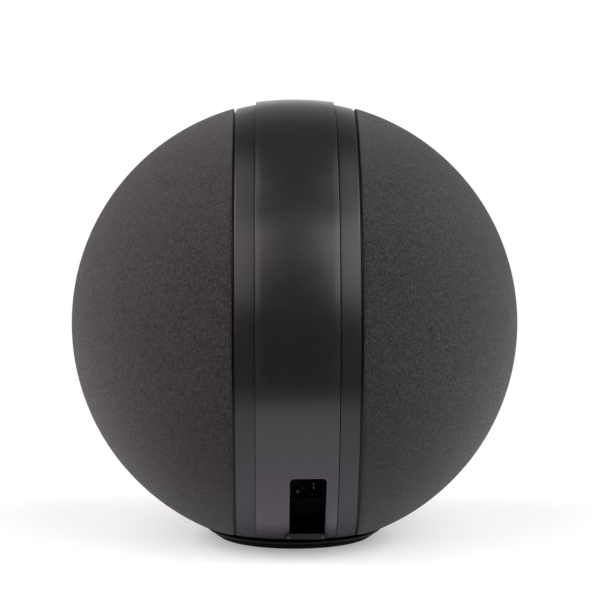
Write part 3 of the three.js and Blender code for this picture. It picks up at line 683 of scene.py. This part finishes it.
def base_screw(number, place):
    """A cross-head screw, pointing up into the ball."""
    low = SCREW_BOTTOM
    outline = [
        (0.0, low),
        (2.3, low),
        (2.8, low + 0.25),
        (SCREW_HEAD, low + 0.6),
        (SCREW_HEAD, low + SCREW_HEAD_HEIGHT),
        (SCREW_SHANK, low + SCREW_HEAD_HEIGHT),
        (SCREW_SHANK, low + SCREW_LENGTH),
        (0.0, low + SCREW_LENGTH),
    ]
    piece = turned(f"base_fixing_{number}", outline, turn_about_z, steps=32, at=(*place, 0.0))
    for width, length in ((0.7, 3.4), (3.4, 0.7)):
        slot = bmesh.new()
        x, y = place
        outline = rectangle(x - width / 2, x + width / 2, y - length / 2, y + length / 2)
        prism(slot, outline, low - 1.0, low + 1.3, upright)
        boolean(piece, slot)
    return piece


def foot_collar():
    """The thin chamfered ring round the neck."""
    outline = [
        (NECK_RADIUS + FIT_GAP, COLLAR_BOTTOM),
        (38.2, COLLAR_BOTTOM),
        (39.2, NECK_BOTTOM + 1.9),
        (39.4, NECK_BOTTOM + 2.4),
        (38.8, COLLAR_TOP),
        (NECK_RADIUS + FIT_GAP, COLLAR_TOP),
    ]
    return turned("foot_ring", outline, turn_about_z, steps=FOOT_STEPS)


def foot_pad():
    """The rubber pad under the neck, which wraps up round it as far as the collar."""
    outline = [
        (PAD_INNER, FLOOR),
        (34.1, FLOOR),
        (36.0, PAD_TOP),
        (37.8, PAD_RIM),
        (NECK_RADIUS + 0.2, PAD_RIM),
        (NECK_RADIUS + 0.2, PAD_TOP),
        (PAD_INNER, PAD_TOP),
    ]
    return turned("foot_tread", outline, turn_about_z, steps=FOOT_STEPS, corner=0.15)


def pressed_ring(name, line, thickness, sign):
    """A ring of even thickness round X from a line of (radius, distance from the middle of the ball)."""
    outline = [*line, *[(radius, place + thickness) for radius, place in reversed(line)]]
    bm = bmesh.new()
    revolve(bm, [(radius, sign * place) for radius, place in outline], RING_STEPS, turn_about_x)
    return finish_mesh(name, bm)


def surround(side, sign):
    """The cone's outer suspension: a half roll of rubber between two flat lands."""
    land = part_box("right_surround")[0][0] / MM
    middle = (ROLL_INNER + ROLL_OUTER) / 2
    line = [(SURROUND_INNER, land)]
    for step in range(ROLL_STEPS + 1):
        angle = math.pi * step / ROLL_STEPS
        radius = middle - (ROLL_OUTER - ROLL_INNER) / 2 * math.cos(angle)
        line.append((radius, land + ROLL_HEIGHT * math.sin(angle)))
    line.append((SURROUND_OUTER, land))
    return pressed_ring(f"{side}_roll", line, SURROUND_THICKNESS, sign)


def spider(side, sign):
    """The voice coil's inner suspension: a disc of cloth pressed into rings of waves."""
    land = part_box("right_spider")[0][0] / MM
    steps = SPIDER_WAVES * SPIDER_WAVE_STEPS
    line = [(SPIDER_INNER, land)]
    for step in range(steps + 1):
        share = step / steps
        radius = SPIDER_WAVE_FROM + (SPIDER_WAVE_TO - SPIDER_WAVE_FROM) * share
        wave = 1 - math.cos(2 * math.pi * SPIDER_WAVES * share)
        line.append((radius, land + SPIDER_WAVE_HEIGHT * wave / 2))
    line.append((SPIDER_OUTER, land))
    return pressed_ring(f"{side}_waves", line, SPIDER_THICKNESS, sign)


def suspend(piece):
    """Bakes the ring's transform while each vertex stands at its distance from the ball's X axis, then puts
    every vertex back where it was.
    """
    vertices = piece.data.vertices
    places = [vertex.co.copy() for vertex in vertices]
    for vertex, place in zip(vertices, places):
        vertex.co = (math.hypot(place.y - CENTRE.y, place.z - CENTRE.z), 0.0, 0.0)
    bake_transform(piece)
    for vertex, place in zip(vertices, places):
        vertex.co = place
    piece.data.update()


# Finishes


class Finish:
    """A procedural material. Its coordinates are millimetres from the centre of the ball."""

    def __init__(self, name, colour, roughness, metallic=0.0):
        self.material = bpy.data.materials.new(name)
        self.material.use_nodes = True
        self.tree = self.material.node_tree
        self.shader = self.tree.nodes["Principled BSDF"]
        self.colour = colour
        self.roughness = roughness
        self.shader.inputs["Base Color"].default_value = (*colour, 1.0)
        self.shader.inputs["Roughness"].default_value = roughness
        self.shader.inputs["Metallic"].default_value = metallic
        self.material.diffuse_color = (*colour, 1.0)
        coordinates = self.tree.nodes.new("ShaderNodeTexCoord").outputs["Object"]
        centred = self.vector("SUBTRACT", coordinates, tuple(CENTRE))
        self.place = self.vector("SCALE", centred, scale=1.0 / MM)

    def put(self, socket, value):
        if isinstance(value, bpy.types.NodeSocket):
            self.tree.links.new(value, socket)
        else:
            socket.default_value = value

    def vector(self, operation, a, b=None, scale=None):
        node = self.tree.nodes.new("ShaderNodeVectorMath")
        node.operation = operation
        self.put(node.inputs[0], a)
        if b is not None:
            self.put(node.inputs[1], b)
        if scale is not None:
            self.put(node.inputs["Scale"], scale)
        return node.outputs["Value" if operation == "DOT_PRODUCT" else "Vector"]

    def math(self, operation, a, b=0.0, c=0.0):
        node = self.tree.nodes.new("ShaderNodeMath")
        node.operation = operation
        for socket, value in zip(node.inputs, (a, b, c)):
            self.put(socket, value)
        return node.outputs[0]

    def split(self, vector):
        node = self.tree.nodes.new("ShaderNodeSeparateXYZ")
        self.put(node.inputs[0], vector)
        return node.outputs[0], node.outputs[1], node.outputs[2]

    def join(self, x, y, z):
        node = self.tree.nodes.new("ShaderNodeCombineXYZ")
        for socket, value in zip(node.inputs, (x, y, z)):
            self.put(socket, value)
        return node.outputs[0]

    def noise(self, size, detail=2.0, place=None):
        """Noise from 0 to 1 with features of about size millimetres."""
        node = self.tree.nodes.new("ShaderNodeTexNoise")
        self.put(node.inputs["Vector"], self.place if place is None else place)
        node.inputs["Scale"].default_value = 1.0 / size
        node.inputs["Detail"].default_value = detail
        return node.outputs["Fac"]

    def cells(self, size):
        """Distance from the middle of each of a scatter of cells about size millimetres across."""
        node = self.tree.nodes.new("ShaderNodeTexVoronoi")
        self.put(node.inputs["Vector"], self.place)
        node.inputs["Scale"].default_value = 1.0 / size
        return node.outputs["Distance"]

    def remap(self, value, low, high, to_low, to_high):
        node = self.tree.nodes.new("ShaderNodeMapRange")
        self.put(node.inputs["Value"], value)
        for name, number in (("From Min", low), ("From Max", high), ("To Min", to_low), ("To Max", to_high)):
            node.inputs[name].default_value = number
        return node.outputs["Result"]

    def spread(self, noise, to_low, to_high):
        """Noise, taken over the range where most of it lies, as a number from to_low to to_high."""
        return self.remap(noise, NOISE_LOW, NOISE_HIGH, to_low, to_high)

    def mix(self, share, a, b):
        """A colour between a and b."""
        node = self.tree.nodes.new("ShaderNodeMix")
        node.data_type = "RGBA"
        self.put(node.inputs["Factor"], share)
        for name, value in (("A", a), ("B", b)):
            socket = [item for item in node.inputs if item.name == name and item.type == "RGBA"][0]
            self.put(socket, (*value, 1.0) if isinstance(value, tuple) else value)
        return [item for item in node.outputs if item.type == "RGBA"][0]

    def shade(self, factor, cast=None):
        """The base colour times a factor that varies over the surface, and a cast added to it."""
        colour = self.vector("SCALE", tuple(self.colour), scale=factor)
        if cast:
            colour = self.vector("ADD", colour, cast)
        self.put(self.shader.inputs["Base Color"], colour)

    def vary_roughness(self, factor):
        value = self.math("MULTIPLY", factor, self.roughness)
        self.put(self.shader.inputs["Roughness"], value)

    def bump(self, height, depth, round_edges=0.0):
        """Relief of depth millimetres, with edges softened to round_edges millimetres."""
        node = self.tree.nodes.new("ShaderNodeBump")
        node.inputs["Distance"].default_value = depth * MM
        self.put(node.inputs["Height"], height)
        if round_edges:
            self.put(node.inputs["Normal"], self.soft_normal(round_edges))
        self.put(self.shader.inputs["Normal"], node.outputs["Normal"])

    def soft_normal(self, radius):
        node = self.tree.nodes.new("ShaderNodeBevel")
        node.samples = 4
        node.inputs["Radius"].default_value = radius * MM
        return node.outputs["Normal"]

    def edge_highlight_mask(self, radius):
        """1 along sharp edges and 0 on flat ground; it places the painted edge highlight."""
        true_normal = self.tree.nodes.new("ShaderNodeNewGeometry").outputs["Normal"]
        facing = self.vector("DOT_PRODUCT", self.soft_normal(radius), true_normal)
        return self.remap(facing, 1.0, 0.8, 0.0, 1.0)


def add(finish, *values):
    total = values[0]
    for value in values[1:]:
        total = finish.math("ADD", total, value)
    return total


def knit(name, colour):
    """A fine weft knit laid over the dome with little stretching, in lightly mottled yarn, painted darker
    towards its underside and its top as painted shade.
    """
    finish = Finish(name, colour, 0.92)
    wale, course, slant = 1.6, 1.2, 1.1
    wobble = 0.9
    x, y, z = finish.split(finish.place)
    height = finish.math("DIVIDE", finish.math("ABSOLUTE", x), COVER_RADIUS)
    spread = finish.math("SQRT", finish.math("DIVIDE", 2.0, finish.math("ADD", height, 1.0)))
    drift_a = finish.math("MULTIPLY", finish.math("SUBTRACT", finish.noise(2.6), 0.5), wobble)
    shifted = finish.vector("ADD", finish.place, (31.0, 17.0, 5.0))
    drift_b = finish.math("MULTIPLY", finish.math("SUBTRACT", finish.noise(2.1, place=shifted), 0.5), wobble)
    across = finish.math("DIVIDE", finish.math("MULTIPLY_ADD", y, spread, drift_a), wale)
    along = finish.math("DIVIDE", finish.math("MULTIPLY_ADD", z, spread, drift_b), course)
    leg = finish.math("ABSOLUTE", finish.math("SUBTRACT", finish.math("FRACT", across), 0.5))
    row = finish.math("FRACT", finish.math("MULTIPLY_ADD", leg, slant, along))
    loop = finish.math("SINE", finish.math("MULTIPLY", row, math.pi))
    column = finish.math("SINE", finish.math("MULTIPLY", leg, 2 * math.pi))
    yarn = finish.math("MULTIPLY", loop, finish.math("MULTIPLY_ADD", column, 0.55, 0.45))
    cell = finish.join(
        finish.math("FLOOR", finish.math("MULTIPLY", across, 2.0)),
        finish.math("FLOOR", finish.math("MULTIPLY_ADD", leg, slant, along)),
        finish.math("SIGN", x),
    )
    fleck = finish.tree.nodes.new("ShaderNodeTexWhiteNoise")
    finish.put(fleck.inputs["Vector"], cell)
    melange = finish.noise(0.95, detail=0.0)
    mottle = finish.noise(3.0, detail=1.0)
    fibre = finish.noise(0.16, detail=2.0)
    cloud = finish.noise(26.0, detail=1.0)
    factor = add(
        finish,
        finish.spread(melange, 0.62, 1.32),
        finish.spread(mottle, -0.08, 0.08),
        finish.remap(fleck.outputs["Value"], 0.0, 1.0, -0.2, 0.2),
        finish.remap(yarn, 0.0, 1.0, -0.14, 0.18),
        finish.spread(fibre, -0.05, 0.05),
        finish.spread(cloud, -0.03, 0.03),
    )
    # Painted shade: the colour darkens towards the underside and towards the top of the ball.
    painted_underside_shade = finish.remap(z, -20.0, -85.0, 1.0, 0.46)
    painted_top_shade = finish.remap(z, 50.0, 90.0, 1.0, 0.62)
    painted_knit_shade = finish.math("MULTIPLY", painted_underside_shade, painted_top_shade)
    finish.shade(finish.math("MULTIPLY", factor, painted_knit_shade))
    relief = finish.math("MULTIPLY_ADD", fibre, 0.2, yarn)
    finish.bump(relief, 0.16)
    finish.shader.inputs["Sheen Weight"].default_value = 0.125
    finish.shader.inputs["Sheen Roughness"].default_value = 0.5
    finish.shader.inputs["Specular IOR Level"].default_value = 0.2
    return finish.material


def moulded(
    name,
    colour,
    roughness,
    grain=0.2,
    edge_highlight=0.4,
    edge=0.25,
    specular=0.5,
    bottom_shade_from=0.0,
    bottom_shade_and_matt=0.0,
    violet=(0.0, 0.0, 0.0),
):
    """Moulded plastic with a fine spark-eroded texture and edges made a little paler as a painted highlight.

    From a given height down, the colour is painted darker towards the bottom of the ball as painted shade,
    and the surface grows rougher; a strength from 0 to 1 says how far both go at the bottom. violet is a
    cast that comes in towards the bottom.
    """
    finish = Finish(name, colour, roughness)
    speckle = finish.noise(grain, detail=3.0)
    haze = finish.noise(7.0, detail=4.0)
    # Painted highlight: sharp edges are made paler.
    painted_edge_highlight = finish.edge_highlight_mask(edge)
    factor = add(
        finish,
        finish.remap(speckle, 0.25, 0.75, 0.86, 1.06),
        finish.spread(haze, -0.03, 0.05),
        finish.math("MULTIPLY", painted_edge_highlight, edge_highlight),
    )
    gloss = add(finish, finish.spread(haze, 0.95, 1.04), finish.spread(speckle, -0.03, 0.03))
    cast = None
    # Painted shade: below the given height the colour darkens towards the bottom of the ball; the roughness
    # rises there too.
    if bottom_shade_and_matt:
        z = finish.split(finish.place)[2]
        factor = finish.math("MULTIPLY", factor, finish.remap(z, bottom_shade_from, BOTTOM_SHADE_TO, 1.0, 1.0 - 0.9 * bottom_shade_and_matt))
        gloss = finish.math("MULTIPLY", gloss, finish.remap(z, bottom_shade_from, BOTTOM_SHADE_TO, 1.0, 1.0 + 2.4 * bottom_shade_and_matt))
        cast = finish.vector("SCALE", violet, scale=finish.remap(z, CAST_FROM, CAST_TO, 0.0, 1.0))
    finish.shade(factor, cast)
    finish.vary_roughness(gloss)
    finish.bump(speckle, SPARK_DEPTH, round_edges=edge)
    finish.shader.inputs["Specular IOR Level"].default_value = specular
    return finish.material


def glinting_button(name, colour):
    """The recess plastic with a painted glint: a small pale dot in the middle of the button's cap."""
    finish = Finish(name, colour, 0.5)
    x, _, z = finish.split(finish.place)
    flat = finish.join(x, 0.0, z)
    offset = finish.vector("SUBTRACT", flat, (BUTTON[0], 0.0, BUTTON[1]))
    reach = finish.math("SQRT", finish.vector("DOT_PRODUCT", offset, offset))
    # Painted glint: a pale spot in the middle of the cap.
    painted_glint = finish.remap(reach, 0.35, 0.55, 25.0, 1.0)
    finish.shade(add(finish, painted_glint, finish.spread(finish.noise(0.2), -0.15, 0.15)))
    finish.bump(finish.noise(0.2), SPARK_DEPTH, round_edges=0.2)
    finish.shader.inputs["Specular IOR Level"].default_value = 0.1
    return finish.material


def metal(name, colour, roughness, brushed=(1.0, 1.0, 1.0)):
    """Metal with fine scratches. brushed stretches the scratches along the axes with small numbers."""
    finish = Finish(name, colour, roughness, metallic=1.0)
    stretched = finish.vector("MULTIPLY", finish.place, brushed)
    scratches = finish.noise(0.3, detail=5.0, place=stretched)
    tarnish = finish.noise(4.0, detail=4.0)
    finish.shade(add(finish, finish.spread(tarnish, 0.84, 1.0), finish.spread(scratches, -0.05, 0.05)))
    finish.vary_roughness(finish.spread(scratches, 0.8, 1.25))
    finish.bump(scratches, SCRATCH_DEPTH, round_edges=0.15)
    return finish.material


def grained(name, colour, roughness, grain, depth, specular=0.5):
    """A matt pressed or sintered material: paper pulp, ferrite or rubber."""
    finish = Finish(name, colour, roughness)
    flakes = finish.cells(grain)
    pulp = finish.noise(grain * 2.5, detail=4.0)
    fleck = finish.remap(flakes, 0.0, 0.8, 1.0, 1.0 - FLAKE_CONTRAST)
    finish.shade(add(finish, fleck, finish.spread(pulp, -0.1, 0.12)))
    finish.vary_roughness(finish.spread(pulp, 0.9, 1.08))
    finish.bump(add(finish, flakes, pulp), depth, round_edges=0.2)
    finish.shader.inputs["Specular IOR Level"].default_value = specular
    return finish.material


def wound_copper(name, colour):
    """Enamelled wire wound round X."""
    finish = Finish(name, colour, 0.3, metallic=1.0)
    x, _, _ = finish.split(finish.place)
    turns = finish.math("ABSOLUTE", finish.math("SINE", finish.math("MULTIPLY", x, math.pi / WIRE_PITCH)))
    enamel = finish.spread(finish.noise(1.0), -0.05, 0.05)
    finish.shade(add(finish, finish.remap(turns, 0.0, 1.0, 0.45, 1.0), enamel))
    finish.bump(turns, 0.08)
    return finish.material


def woven_spider(name, colour):
    """Open plain-weave cloth stiffened with resin."""
    finish = Finish(name, colour, 0.7)
    _, y, z = finish.split(finish.place)
    threads = []
    for axis in (y, z):
        wave = finish.math("SINE", finish.math("MULTIPLY", axis, 2 * math.pi / THREAD_PITCH))
        threads.append(finish.math("ABSOLUTE", wave))
    cloth = finish.math("MAXIMUM", *threads)
    resin = finish.spread(finish.noise(3.0), -0.08, 0.08)
    finish.shade(add(finish, finish.remap(cloth, 0.3, 1.0, 0.55, 1.0), resin))
    finish.bump(cloth, 0.12)
    return finish.material


def circuit_board(name, colour):
    """Solder mask over tracks, with tinned pads."""
    finish = Finish(name, colour, 0.35)
    brick = finish.tree.nodes.new("ShaderNodeTexBrick")
    finish.put(brick.inputs["Vector"], finish.place)
    brick.inputs["Scale"].default_value = 0.35
    brick.inputs["Mortar Size"].default_value = 0.06
    tracks = brick.outputs["Fac"]
    pads = finish.math("LESS_THAN", finish.cells(4.0), 0.16)
    mask = finish.mix(tracks, colour, tuple(channel * 1.7 for channel in colour))
    finish.put(finish.shader.inputs["Base Color"], finish.mix(pads, mask, TIN_COLOUR))
    finish.vary_roughness(finish.spread(finish.noise(2.0), 0.85, 1.1))
    finish.bump(add(finish, tracks, pads), 0.03)
    return finish.material


def floor_finish(name):
    """Matt pale laminate, which glows a little to stand in for light from the room."""
    finish = Finish(name, FLOOR_COLOUR, 0.7)
    finish.shade(finish.spread(finish.noise(9.0, detail=5.0), 0.985, 1.0))
    finish.bump(finish.noise(0.8), 0.01)
    finish.shader.inputs["Emission Color"].default_value = (1.0, 1.0, 1.0, 1.0)
    finish.shader.inputs["Emission Strength"].default_value = FLOOR_GLOW
    finish.shader.inputs["Specular IOR Level"].default_value = 0.1
    return finish.material


def make_finishes():
    """One finish for every slot, and one for each piece that doesn't look like the rest of its slot; the
    warm knit, the lip and the button's cap carry painted light or shade of their own.
    """
    recorded = {row["slot"]: tuple(row["base_color"]) for row in frame["record"]["materials"]}
    return {
        "knit": knit("knit_cloth", KNIT_COLOUR),
        "knit_warm_lit": knit("knit_cloth_warm_lit", WARM_LIT_KNIT_COLOUR),
        # The band and rails: colour painted darker towards the bottom of the ball, as painted shade.
        "band_plastic": moulded(
            "satin_band",
            BAND_COLOUR,
            0.28,
            edge_highlight=0.1,
            edge=0.12,
            specular=0.46,
            bottom_shade_from=-79.0,
            bottom_shade_and_matt=1.0,
            violet=BAND_CAST,
        ),
        "rail_plastic": moulded(
            "satin_rail", RAIL_COLOUR, 0.33, specular=0.38, bottom_shade_from=-62.0, bottom_shade_and_matt=0.45, violet=RAIL_CAST
        ),
        "structural_plastic": moulded("inner_plastic", recorded["structural_plastic"], 0.6, grain=0.4),
        "recess_plastic": moulded("recess_shaded_black", RECESS_SHADED_COLOUR, 0.5, specular=0.05),
        "collar_plastic": moulded("collar_satin", COLLAR_COLOUR, 0.42, specular=0.055),
        "sill": moulded("sill_shaded_satin", SILL_SHADED_COLOUR, 0.5, specular=0.07),
        "sill_pin": metal("dark_steel", SILL_PIN_COLOUR, 0.35),
        "button": glinting_button("button_cap_finish", recorded["recess_plastic"]),
        "rubber": grained("foot_rubber", RUBBER_COLOUR, 0.75, 0.3, 0.02, specular=0.035),
        "steel": metal("plated_steel", recorded["steel"], 0.28),
        "ferrite": grained("ferrite_grey", recorded["ferrite"], 0.6, 0.5, 0.02),
        "aluminium": metal("brushed_aluminium", recorded["aluminium"], 0.35, brushed=(1.0, 1.0, 0.05)),
        "copper": wound_copper("copper_wire", recorded["copper"]),
        "cone_paper": grained("cone_pulp", recorded["cone_paper"], 0.85, 0.6, 0.04),
        "spider_cloth": woven_spider("spider_weave", recorded["spider_cloth"]),
        "circuit_board": circuit_board("board_mask", recorded["circuit_board"]),
    }


# Studio


def make_world():
    """A white backdrop behind the ball and a dim room in front of it. The lens itself sees plain white."""
    world = bpy.data.worlds.new("studio")
    bpy.context.scene.world = world
    world.use_nodes = True
    tree = world.node_tree
    background = tree.nodes["Background"]
    direction = tree.nodes.new("ShaderNodeTexCoord").outputs["Generated"]
    parts = tree.nodes.new("ShaderNodeSeparateXYZ")
    tree.links.new(direction, parts.inputs[0])

    def ramp(value, low, high, to_low, to_high):
        node = tree.nodes.new("ShaderNodeMapRange")
        node.interpolation_type = "SMOOTHSTEP"
        tree.links.new(value, node.inputs["Value"])
        for name, number in (("From Min", low), ("From Max", high), ("To Min", to_low), ("To Max", to_high)):
            node.inputs[name].default_value = number
        return node.outputs["Result"]

    def calculate(operation, a, b):
        node = tree.nodes.new("ShaderNodeMath")
        node.operation = operation
        tree.links.new(a, node.inputs[0])
        if isinstance(b, float):
            node.inputs[1].default_value = b
        else:
            tree.links.new(b, node.inputs[1])
        return node.outputs[0]

    behind = ramp(parts.outputs["Y"], -0.25, 0.35, 1.0, 0.0)
    height = ramp(parts.outputs["Z"], 0.2, 0.5, BACKDROP, BACKDROP_TOP)
    below_zenith = ramp(parts.outputs["Z"], 0.6, 0.85, 1.0, 0.0)
    backdrop = calculate("MULTIPLY", calculate("MULTIPLY", behind, height), below_zenith)
    studio = calculate("ADD", backdrop, ROOM)
    lens = tree.nodes.new("ShaderNodeLightPath").outputs["Is Camera Ray"]
    choose = tree.nodes.new("ShaderNodeMix")
    choose.data_type = "FLOAT"
    tree.links.new(lens, choose.inputs["Factor"])
    tree.links.new(studio, choose.inputs["A"])
    choose.inputs["B"].default_value = 1.0
    tree.links.new(choose.outputs["Result"], background.inputs["Strength"])
    background.inputs["Color"].default_value = (1.0, 1.0, 1.0, 1.0)


def softbox(name, azimuth, elevation, width, height, radiance, tint=WHITE):
    """A rectangular light that faces the ball. Azimuth is from +Y, the camera's side, towards -X."""
    turn, tilt = math.radians(azimuth), math.radians(elevation)
    away = Vector((-math.sin(turn) * math.cos(tilt), math.cos(turn) * math.cos(tilt), math.sin(tilt)))
    data = bpy.data.lights.new(name, "AREA")
    data.shape = "RECTANGLE"
    data.size, data.size_y = width, height
    data.energy = radiance * math.pi * width * height
    data.color = tint
    lamp = bpy.data.objects.new(name, data)
    bpy.context.scene.collection.objects.link(lamp)
    lamp.location = CENTRE + away * LAMP_DISTANCE
    lamp.rotation_mode = "QUATERNION"
    lamp.rotation_quaternion = away.to_track_quat("Z", "Y")
    lamp.visible_camera = False


def make_lights():
    """Left and right are the picture's here: left is towards +X, unlike in the names of pieces."""
    softbox("front_inner_left", -31, 34, 0.6, 1.0, 2.0, PINK)
    softbox("front_outer_left", -46, 34, 0.6, 1.0, 1.4, PINK)
    softbox("front_inner_right", 29, 34, 0.6, 1.0, 2.55)
    softbox("front_middle_right", 44, 34, 0.6, 1.0, 1.1)
    softbox("front_outer_right", 60, 34, 0.6, 1.0, 2.4)
    softbox("front_centre", 0, 46, 0.8, 0.8, 0.35)
    softbox("side_left", -90, 30, 0.8, 0.7, 9.8, (1.0, 0.97, 0.98))
    softbox("side_right", 90, 30, 0.8, 0.7, 7.2)
    softbox("low_left", -58, 10, 0.6, 0.5, 1.7, PINK)
    softbox("low_right", 56, 10, 0.6, 0.5, 1.9)
    softbox("band_left", -27, -13, 0.4, 0.5, 0.25)
    softbox("band_right", 27, -13, 0.4, 0.5, 0.25)
    softbox("high_left", -76, 62, 0.8, 0.7, 1.5)
    softbox("high_right", 76, 62, 0.8, 0.7, 1.3)


def make_floor():
    """A pale round table top."""
    bm = bmesh.new()
    bm.faces.new([bm.verts.new((x, y, FLOOR - FLOOR_GAP)) for x, y in circle(FLOOR_RADIUS, steps=128)])
    floor = finish_mesh("table_top", bm)
    floor.data.materials.append(floor_finish("table_laminate"))


# Assembly


def dress(piece, slot, body="speaker", stands_for=(), finish=None):
    """Gives a piece the finish of its slot, attaches it to its body if it has just one, and hides the CAD
    nodes it stands for.

    The finish is the slot's own unless another is named.
    """
    piece.data.materials.clear()
    piece.data.materials.append(FINISHES[finish or slot])
    if body:
        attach(piece, body)
    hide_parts(*stands_for)
    return piece


def finish_cad_nodes():
    """Every CAD node that is still shown takes the finish of its slot."""
    slots = {row["node"]: row["material_slot"] for row in frame["record"]["subparts"]}
    for name, node in frame["nodes"].items():
        node.data.materials.clear()
        node.data.materials.append(FINISHES[slots[name]])
        node.data.polygons.foreach_set("use_smooth", [True] * len(node.data.polygons))
        node.data.set_sharp_from_angle(angle=math.radians(CAD_SHARP_ANGLE))


make_camera()
FINISHES = make_finishes()
finish_cad_nodes()
make_world()
make_lights()
make_floor()

for side, sign in (("left", -1), ("right", 1)):
    # The right cover takes the warm-tinted knit, as painted warm light.
    cloth = "knit_warm_lit" if side == "right" else "knit"
    cover = dress(knit_cover(side, sign), "knit", stands_for=[f"{side}_knit_cover"], finish=cloth)
    dress(rail(side, sign), "rail_plastic", stands_for=[f"{side}_rail"])
    pin_x = (SILL_LEFT + SILL_RIGHT) / 2 + sign * SILL_PIN_REACH
    dress(sill_pin(side, pin_x), "steel", stands_for=[f"{side}_sill_pin"], finish="sill_pin")

    roll = dress(surround(side, sign), "rubber", body=None, stands_for=[f"{side}_surround"])
    suspend(roll)
    waves = dress(spider(side, sign), "spider_cloth", body=None, stands_for=[f"{side}_spider"])
    suspend(waves)

dress(strap(), "band_plastic", stands_for=["strap"])
dress(recess_pocket(), "recess_plastic", stands_for=["recess_pocket"])
dress(socket_panel(), "recess_plastic", stands_for=["socket_panel"])
dress(power_socket(), "recess_plastic", stands_for=["power_socket"])
dress(socket_pin(), "steel", stands_for=["socket_pin"])
dress(reset_button(), "recess_plastic", body="button", stands_for=["reset_button"], finish="button")
# The lip takes a darker copy of the rail plastic, as painted shade at the bottom of the ball.
dress(recess_sill(), "rail_plastic", stands_for=["recess_sill"], finish="sill")
dress(base_plate(), "structural_plastic", stands_for=["base_plate"])
dress(foot_collar(), "collar_plastic", stands_for=["foot_collar"])
dress(foot_pad(), "rubber", stands_for=["foot_pad"])
for index, place in enumerate(screw_places(), 1):
    dress(base_screw(index, place), "steel", stands_for=[f"base_screw_{index}"])

bpy.context.scene.view_settings.view_transform = "Standard"
bpy.context.view_layer.update()
